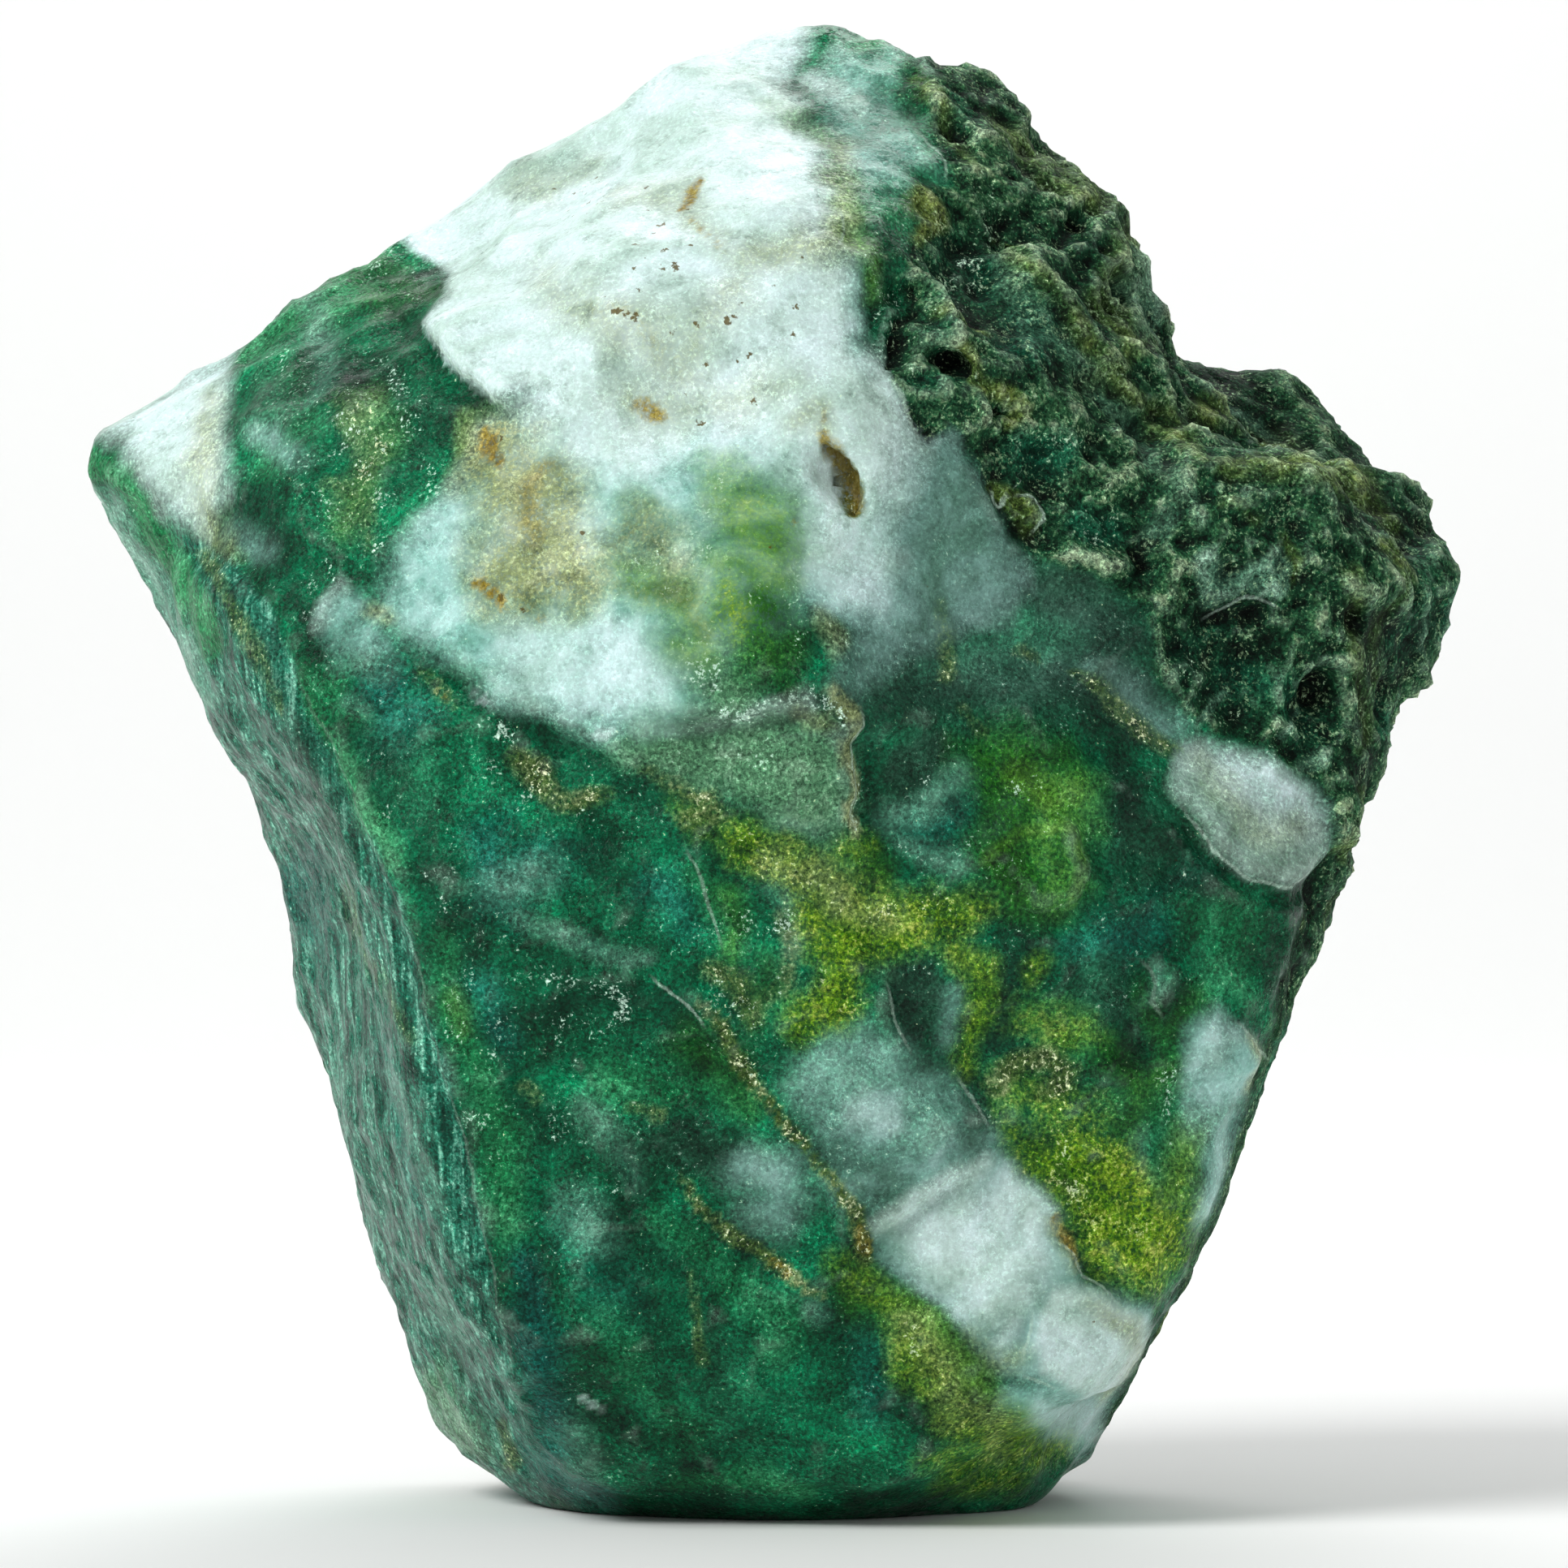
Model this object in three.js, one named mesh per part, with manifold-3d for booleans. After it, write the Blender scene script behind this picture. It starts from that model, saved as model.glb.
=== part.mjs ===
// A raw moss agate: one broken lump of chalcedony that stands on a flat chip at its foot.
// Millimetres, +Z up, the broad broken face towards -Y, the origin at the middle of the foot.
import * as THREE from "three";
import { ImprovedNoise } from "three/addons/math/ImprovedNoise.js";
import { mergeVertices } from "three/addons/utils/BufferGeometryUtils.js";
import Module from "manifold-3d";

// Driving dimensions.
const height = 49.5; // from the foot to the top
const halfHeight = height / 2;
const heart = new THREE.Vector3(0, 0, 26.5); // every point of the skin can be seen from here
const skinDetail = 18; // 20 * (skinDetail + 1)^2 triangles before the pits are cut
const edgeSharpness = 24; // a higher number gives sharper edges between the faces
const rimSwell = 1.027; // the rounding pulls the rim in by about this much
const rimBand = 2; // the outline's humps hold this far in front of and behind the rim
const rimFade = 8; // and are gone this far from it
const calmSteps = 3; // samples each way when the outline is averaged
const calmSpread = 0.32; // radians each way
const footDepth = 1.2; // how much of the lump the foot's flat chip takes off
const mergeWithin = 1e-4; // points closer than this are one point

// The outline seen from the front, clockwise from the left end of the foot. At each corner: x and z,
// y where the lump is widest there, and how fast it narrows from there to the front and to the back.
const outline = [
  { name: "foot, left end", x: -6.2, z: -footDepth, y: 0, front: 0.14, back: 0.16 },
  { name: "foot, left heel", x: -10.3, z: 1.8, y: 2, front: 0.3, back: 0.3 },
  { name: "left side, low", x: -12.9, z: 7.6, y: 4, front: 0.3, back: 0.5 },
  { name: "left side, middle", x: -14.6, z: 15.0, y: 4, front: 0.29, back: 0.5 },
  { name: "left side, high", x: -17.2, z: 24.0, y: 4, front: 0.24, back: 0.5 },
  { name: "left side, under the tip", x: -21.0, z: 31.4, y: 3, front: 0.26, back: 0.5 },
  { name: "left tip, lower edge", x: -23.1, z: 34.5, y: 0, front: 0.5, back: 0.55 },
  { name: "left tip, upper edge", x: -22.2, z: 36.1, y: 0, front: 0.5, back: 0.5 },
  { name: "shoulder, left", x: -16.4, z: 39.8, y: 1, front: 0.5, back: 0.5 },
  { name: "shoulder, middle", x: -10.4, z: 43.9, y: 2, front: 0.5, back: 0.55 },
  { name: "shoulder, right", x: -4.3, z: 47.6, y: 2, front: 0.5, back: 0.6 },
  { name: "crown, left", x: -2.3, z: 49.0, y: 2, front: 0.5, back: 0.6 },
  { name: "crown", x: 1.3, z: 49.2, y: 2, front: 0.5, back: 0.6 },
  { name: "crown, right", x: 6.2, z: 48.4, y: 2, front: 0.55, back: 0.55 },
  { name: "rind, top corner", x: 8.3, z: 47.4, y: 2, front: 0.6, back: 0.5 },
  { name: "rind, upper slope", x: 9.6, z: 45.5, y: 3, front: 0.6, back: 0.5 },
  { name: "rind, upper hump", x: 12.8, z: 43.5, y: 2, front: 0.55, back: 0.5 },
  { name: "rind, under the hump", x: 14.0, z: 40.2, y: 2, front: 0.5, back: 0.4 },
  { name: "notch", x: 15.0, z: 38.2, y: 3, front: 0.5, back: 0.3 },
  { name: "far hump, inner end", x: 17.3, z: 37.8, y: 8, front: 0.35, back: 0.4 },
  { name: "far hump", x: 20.4, z: 36.0, y: 8, front: 0.3, back: 0.4 },
  { name: "right hump, top", x: 22.7, z: 34.2, y: 3, front: 0.25, back: 0.4 },
  { name: "right hump", x: 23.4, z: 31.2, y: 0, front: 0.25, back: 0.4 },
  { name: "right hump, lower edge", x: 22.4, z: 27.9, y: 0, front: 0.25, back: 0.4 },
  { name: "right side, waist", x: 20.3, z: 25.7, y: 2, front: 0.12, back: 0.35 },
  { name: "right side, high", x: 19.4, z: 22.4, y: 2, front: 0.12, back: 0.35 },
  { name: "right side, middle", x: 17.1, z: 15.4, y: 2, front: 0.12, back: 0.4 },
  { name: "right side, low", x: 13.8, z: 7.0, y: 1, front: 0.15, back: 0.35 },
  { name: "foot, right heel", x: 11.7, z: 2.0, y: 1, front: 0.22, back: 0.25 },
  { name: "foot, right end", x: 8.6, z: -footDepth, y: 0, front: 0.14, back: 0.16 },
];

// The broken faces: a point on each, and the way it faces.
const faces = [
  { name: "front, lower", at: [-2, -14.6, 14], facing: [-0.06, -1, -0.16] },
  { name: "front, right", at: [11, -13.2, 17], facing: [0.26, -1, -0.08] },
  { name: "front, under edge", at: [2, -9.4, 0], facing: [0.16, -0.72, -1] },
  { name: "front, under left edge", at: [-6, -8.2, 0], facing: [-0.32, -0.66, -1] },
  { name: "front, upper", at: [-2, -13.6, 37], facing: [-0.1, -1, 0.42] },
  { name: "front, upper left", at: [-13, -11.6, 35], facing: [-0.34, -1, 0.3] },
  { name: "crown slope", at: [0, -7.5, 46.5], facing: [-0.06, -0.75, 0.75] },
  { name: "rind, front slope", at: [9.5, -10, 38.5], facing: [0.62, -1, 0.34] },
  { name: "right hump, front", at: [17, -8.6, 30], facing: [0.5, -1, 0.2] },
  { name: "back, upper", at: [0, 13.6, 37], facing: [0.12, 1, 0.46] },
  { name: "back, middle", at: [2, 16.4, 25], facing: [0.1, 1, 0.06] },
  { name: "back, lower", at: [0, 14.8, 13], facing: [-0.12, 1, -0.3] },
  { name: "back, left", at: [-12, 11.6, 30], facing: [-0.75, 1, 0.12] },
  { name: "back, right", at: [14, 12, 26], facing: [0.7, 1, -0.1] },
];

// Lumps and hollows of the skin: where, how wide, and how far out (or in).
const lumps = [
  { name: "right hump, near side", at: [17.5, -7, 32], radius: 6.5, rise: 2.0 },
  { name: "saddle behind the right hump", at: [17, 1.5, 37], radius: 4.5, rise: -2.4 },
  { name: "far hump", at: [17.5, 8, 37.5], radius: 5, rise: 1.6 },
  { name: "rind hump", at: [10, -3, 44], radius: 5.5, rise: 1.1 },
  { name: "rind hollow", at: [12.5, -7.5, 37], radius: 4.5, rise: -1.0 },
  { name: "rind ridge", at: [8.5, -11, 39], radius: 4, rise: 0.7 },
  { name: "grey hollow", at: [8, -15, 28.5], radius: 6.5, rise: -1.0 },
  { name: "front swell", at: [-2, -15, 31], radius: 7, rise: 0.5 },
  { name: "moss swell", at: [9, -15, 21], radius: 5, rise: 0.7 },
  { name: "vein shelf", at: [9, -13, 6.5], radius: 5, rise: 0.9 },
  { name: "lower left swell", at: [-6, -13, 8], radius: 6, rise: 0.6 },
  { name: "chip over the foot", at: [-4, -12.5, 4], radius: 4, rise: -1.0 },
  { name: "toe over the foot", at: [4.5, -11.5, 2], radius: 4, rise: 0.8 },
  { name: "left face hollow", at: [-15, -5, 20], radius: 7, rise: -0.6 },
  { name: "shoulder dip", at: [-5, -3, 46], radius: 5, rise: -0.5 },
  { name: "rind knob behind the crown", at: [8, 5, 44], radius: 4, rise: 1.0 },
  { name: "rind dent behind the notch", at: [11.5, 8, 39], radius: 4.5, rise: -1.1 },
  { name: "rind knob, back top", at: [3, 8, 45], radius: 4.5, rise: 0.7 },
  { name: "back scoop", at: [-5, 15, 24], radius: 8, rise: -1.6 },
  { name: "back boss", at: [6, 15, 36], radius: 6, rise: 1.4 },
  { name: "back knuckle", at: [10, 13, 14], radius: 5, rise: 1.2 },
  { name: "back left dent", at: [-14, 10, 36], radius: 5, rise: -1.1 },
];

// Steps where a flake has come off the front: the left side of each line stands proud.
const ledges = [
  { name: "white flake", from: [-11.0, 39.2], to: [-6.3, 34.9], rise: 0.6, reach: 5 },
  { name: "centre step", from: [3.1, 22.6], to: [2.7, 28.6], rise: 0.5, reach: 4 },
  { name: "vein step", from: [10.2, 8.0], to: [5.6, 14.4], rise: 0.5, reach: 3.5 },
  { name: "vein end", from: [8.6, 4.9], to: [12.6, 4.4], rise: 0.6, reach: 3 },
  { name: "right white flake", from: [13.4, 23.7], to: [16.8, 20.9], rise: 0.5, reach: 3 },
  { name: "crown flake", from: [5.5, 42.9], to: [4.7, 46.0], rise: 0.6, reach: 3 },
];

// Holes: the middle of each mouth seen from the front (or from the back), its half sizes and its tilt.
const pits = [
  { name: "slot", x: 2.45, z: 34.2, half: [0.5, 1.1, 1.3], tilt: 29 },
  { name: "rind hole, upper", x: 4.7, z: 40.2, half: [0.7, 0.9, 0.5], tilt: 75 },
  { name: "rind hole, lower", x: 6.2, z: 37.9, half: [0.6, 1.1, 0.9], tilt: 70 },
  { name: "rind hole, hump", x: 10.8, z: 43.2, half: [0.6, 0.9, 0.6], tilt: 0 },
  { name: "rind hole, hollow", x: 8.2, z: 42.1, half: [0.8, 0.7, 0.9], tilt: 20 },
  { name: "rind hole, middle", x: 7.9, z: 36.2, half: [0.5, 0.8, 0.5], tilt: 30 },
  { name: "back hole, upper", x: 4.5, z: 33.0, half: [1.0, 1.3, 0.8], tilt: 20, back: true },
  { name: "back hole, lower", x: -3.0, z: 15.5, half: [1.2, 1.2, 0.8], tilt: 70, back: true },
  { name: "back hole, right", x: 11.5, z: 25.5, half: [0.8, 1.2, 1.0], tilt: 0, back: true },
];

// The rind's front edge crosses the front at this point and leans over to the left by lean mm for
// each mm up. Below the hump it thins out, and behind it covers the whole back.
const rindEdge = { x: 4.5, z: 38, lean: 0.55, blur: 1.5 };
const rindFoot = { gone: 24, full: 28 };
const rindBack = { from: 1, full: 5 };

// Roughness of the skin: the size of its bumps, how far they stand out on broken stone and on rind,
// and the shift that keeps the two sizes unlike each other.
const coarse = { size: 7.5, broken: 0.32, rind: 0.75, shift: 1.7 };
const fine = { size: 3.0, broken: 0.1, rind: 0.5, shift: 4.1 };

// A ledge's step rises between two rows of the skin's corners, stepWidth each side of its line, and
// dies out over endFade at its ends. It is there on the front, from y = -stepFront.from outwards.
const stepWidth = 0.42;
const endFade = 1;
const stepFront = { from: 2, full: 5 };

const pitDetail = 2; // 20 * (pitDetail + 1)^2 triangles for each pit's ellipsoid
const searchReach = 30; // no part of the skin lies deeper than this
const searchHalvings = 30;

const noise = new ImprovedNoise();

function smoothStep(low, high, value) {
  const t = Math.min(Math.max((value - low) / (high - low), 0), 1);
  return t * t * (3 - 2 * t);
}

// Where a ray from the heart, at this angle in the front view, meets the outline.
function outlineAt(angle) {
  const across = Math.cos(angle);
  const up = Math.sin(angle);
  for (let i = 0; i < outline.length; i++) {
    const a = outline[i];
    const b = outline[(i + 1) % outline.length];
    const [ax, az] = [a.x - heart.x, a.z - heart.z];
    const [bx, bz] = [b.x - heart.x, b.z - heart.z];
    const sideA = across * az - up * ax;
    const sideB = across * bz - up * bx;
    if (sideA < 0 || sideB >= 0) continue;
    const share = sideA / (sideA - sideB);
    const radius = across * (ax + (bx - ax) * share) + up * (az + (bz - az) * share);
    if (radius <= 0) continue;
    const mix = (key) => a[key] + (b[key] - a[key]) * share;
    return { radius: radius * rimSwell, y: mix("y"), front: mix("front"), back: mix("back") };
  }
  throw new Error("the outline has a gap at " + angle);
}

const planes = faces.map(({ at, facing }) => {
  const normal = new THREE.Vector3(...facing).normalize();
  return { normal, distance: normal.dot(new THREE.Vector3(...at).sub(heart)) };
});

// The outline with its humps and notches averaged away, as the lump is in front of and behind its rim.
function calmRadius(angle) {
  let sum = 0;
  for (let i = -calmSteps; i <= calmSteps; i++) {
    const turned = angle + (i * calmSpread) / calmSteps;
    sum += outlineAt(turned).radius;
  }
  return sum / (2 * calmSteps + 1);
}

// Distance from the heart to the main form, where the outline's radius in this direction is given.
function metRadius(ray, wall, radius) {
  const flat = Math.hypot(ray.x, ray.z);
  const reaches = [
    [radius - wall.front * wall.y, flat - wall.front * ray.y],
    [radius + wall.back * wall.y, flat + wall.back * ray.y],
  ];
  for (const { normal, distance } of planes) reaches.push([distance, normal.dot(ray)]);
  let sum = 0;
  for (const [distance, rate] of reaches) {
    if (rate > 0) sum += Math.pow(rate / distance, edgeSharpness);
  }
  return Math.pow(sum, -1 / edgeSharpness);
}

// Distance from the heart to the main form, all its walls and faces met with rounded edges.
function formRadius(ray) {
  const angle = Math.atan2(ray.z, ray.x);
  const wall = outlineAt(angle);
  const first = metRadius(ray, wall, wall.radius);
  const offRim = smoothStep(rimBand, rimFade, Math.abs(first * ray.y - wall.y));
  return metRadius(ray, wall, THREE.MathUtils.lerp(wall.radius, calmRadius(angle), offRim));
}

// How much of the rind covers a point: the right-hand slopes and the whole back.
function rindAt(p) {
  const pastEdge = p.x - rindEdge.x + rindEdge.lean * (p.z - rindEdge.z);
  const onSlopes = smoothStep(-rindEdge.blur, rindEdge.blur, pastEdge);
  const aboveFoot = smoothStep(rindFoot.gone, rindFoot.full, p.z);
  return Math.max(onSlopes * aboveFoot, smoothStep(rindBack.from, rindBack.full, p.y));
}

function roughness(p, { size, broken, rind, shift }) {
  const bump = noise.noise(p.x / size + shift, p.y / size + 2 * shift, p.z / size + 3 * shift);
  return bump * THREE.MathUtils.lerp(broken, rind, rindAt(p));
}

// Where a point is beside a ledge's line, seen from the front.
function besideLedge({ from, to }, p) {
  const along = new THREE.Vector2(to[0] - from[0], to[1] - from[1]);
  const length = along.length();
  along.divideScalar(length);
  const offset = new THREE.Vector2(p.x - from[0], p.z - from[1]);
  return { along, length, forward: along.dot(offset), left: along.cross(offset) };
}

function ledgeRise(p) {
  let rise = 0;
  for (const ledge of ledges) {
    const { length, forward, left } = besideLedge(ledge, p);
    const ends = smoothStep(-endFade, endFade, forward) * smoothStep(-endFade, endFade, length - forward);
    const step = smoothStep(-stepWidth, stepWidth, left);
    const fall = 1 - smoothStep(0, ledge.reach, left);
    rise += ledge.rise * ends * step * fall;
  }
  return rise * smoothStep(stepFront.from, stepFront.full, -p.y);
}

// The skin's point along a ray from the heart.
function skinPoint(ray) {
  const form = ray.clone().multiplyScalar(formRadius(ray));
  const p = form.clone().add(heart);
  let rise = ledgeRise(p);
  for (const lump of lumps) {
    const away = p.distanceTo(new THREE.Vector3(...lump.at)) / lump.radius;
    if (away < 1) rise += lump.rise * Math.pow(1 - away * away, 2);
  }
  rise += roughness(p, coarse) + roughness(p, fine);
  return form.setLength(form.length() + rise).add(heart);
}

// The ray turned so that the skin's corners beside a ledge stand in two rows along it.
function steppedRay(ray) {
  const p = ray.clone().multiplyScalar(formRadius(ray)).add(heart);
  for (const ledge of ledges) {
    const { along, length, forward, left } = besideLedge(ledge, p);
    if (p.y > 0 || forward < 0 || forward > length || Math.abs(left) > stepWidth) continue;
    const shift = Math.sign(left) * stepWidth - left;
    p.x -= along.y * shift;
    p.z += along.x * shift;
  }
  return p.sub(heart).normalize();
}

// The skin's point seen at x, z from the front or from the back.
function seenPoint(x, z, back) {
  let near = 0;
  let far = searchReach;
  for (let i = 0; i < searchHalvings; i++) {
    const middle = (near + far) / 2;
    const y = back ? middle : -middle;
    const ray = new THREE.Vector3(x, y, z).sub(heart);
    const length = ray.length();
    const inside = skinPoint(ray.normalize()).distanceTo(heart) > length;
    if (inside) near = middle;
    else far = middle;
  }
  return new THREE.Vector3(x, back ? near : -near, z);
}

const wasm = await Module();
wasm.setup();

function solidOf(geometry) {
  const bare = geometry.clone();
  bare.deleteAttribute("normal");
  bare.deleteAttribute("uv");
  const merged = mergeVertices(bare, mergeWithin);
  const triVerts = merged.index
    ? new Uint32Array(merged.index.array)
    : Uint32Array.from({ length: merged.attributes.position.count }, (_, i) => i);
  const vertProperties = new Float32Array(merged.attributes.position.array);
  return new wasm.Manifold(new wasm.Mesh({ numProp: 3, vertProperties, triVerts }));
}

function geometryOf(solid) {
  const { vertProperties, triVerts } = solid.getMesh();
  const geometry = new THREE.BufferGeometry();
  geometry.setAttribute("position", new THREE.BufferAttribute(vertProperties, 3));
  geometry.setIndex(new THREE.BufferAttribute(triVerts, 1));
  return geometry;
}

function skinSolid() {
  const geometry = new THREE.IcosahedronGeometry(1, skinDetail);
  geometry.rotateY(Math.PI / 2); // stands the corners at the front in upright columns
  const position = geometry.attributes.position;
  for (let i = 0; i < position.count; i++) {
    const ray = new THREE.Vector3().fromBufferAttribute(position, i).normalize();
    const p = skinPoint(steppedRay(ray));
    position.setXYZ(i, p.x, p.y, p.z);
  }
  return solidOf(geometry);
}

function pitSolid({ x, z, half, tilt, back }) {
  const mouth = seenPoint(x, z, back);
  const geometry = new THREE.IcosahedronGeometry(1, pitDetail);
  geometry.scale(...half);
  geometry.rotateY(THREE.MathUtils.degToRad(-tilt));
  geometry.translate(mouth.x, mouth.y, mouth.z);
  return solidOf(geometry);
}

function belowFoot() {
  const slab = new THREE.BoxGeometry(4 * height, 4 * height, height);
  slab.translate(0, 0, -halfHeight);
  return solidOf(slab);
}

function stoneGeometry() {
  let stone = skinSolid();
  for (const pit of pits) stone = stone.subtract(pitSolid(pit));
  stone = stone.subtract(belowFoot());
  const geometry = geometryOf(stone);
  geometry.computeBoundingBox();
  const middle = geometry.boundingBox.getCenter(new THREE.Vector3());
  geometry.translate(-middle.x, -middle.y, 0);
  geometry.computeVertexNormals();
  return geometry;
}

function stoneMaterial() {
  return new THREE.MeshStandardMaterial({ color: 0x3f7a60, roughness: 0.5, metalness: 0 });
}

const agate = new THREE.Group();
const stone = new THREE.Mesh(stoneGeometry(), stoneMaterial());
stone.name = "stone";
agate.add(stone);

export default agate;
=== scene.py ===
# A raw moss agate: one broken lump of chalcedony with a dark pitted rind, standing on a pale floor.
import math

import bpy
import numpy as np
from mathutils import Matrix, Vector, noise


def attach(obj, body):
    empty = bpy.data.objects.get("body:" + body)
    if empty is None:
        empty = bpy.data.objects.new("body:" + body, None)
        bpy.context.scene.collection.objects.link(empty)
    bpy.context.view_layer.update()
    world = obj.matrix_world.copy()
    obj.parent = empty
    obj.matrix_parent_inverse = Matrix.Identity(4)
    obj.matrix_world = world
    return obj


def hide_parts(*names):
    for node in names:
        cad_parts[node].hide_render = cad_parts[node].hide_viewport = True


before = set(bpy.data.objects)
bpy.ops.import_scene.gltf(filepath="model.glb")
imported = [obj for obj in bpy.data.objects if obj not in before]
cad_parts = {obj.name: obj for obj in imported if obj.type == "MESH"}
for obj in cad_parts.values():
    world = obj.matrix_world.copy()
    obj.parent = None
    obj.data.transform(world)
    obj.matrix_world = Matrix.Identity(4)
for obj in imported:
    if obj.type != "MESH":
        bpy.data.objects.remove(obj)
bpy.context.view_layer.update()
print("frame loaded")

mm = 0.001

# Where the stone is seen from: level, in line with its middle, all in millimetres.
view = {
    "lens": 200,
    "sensor": 36,
    "distance": 294,
    "aimX": 0.6,
    "aimZ": 24.2,
}

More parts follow.
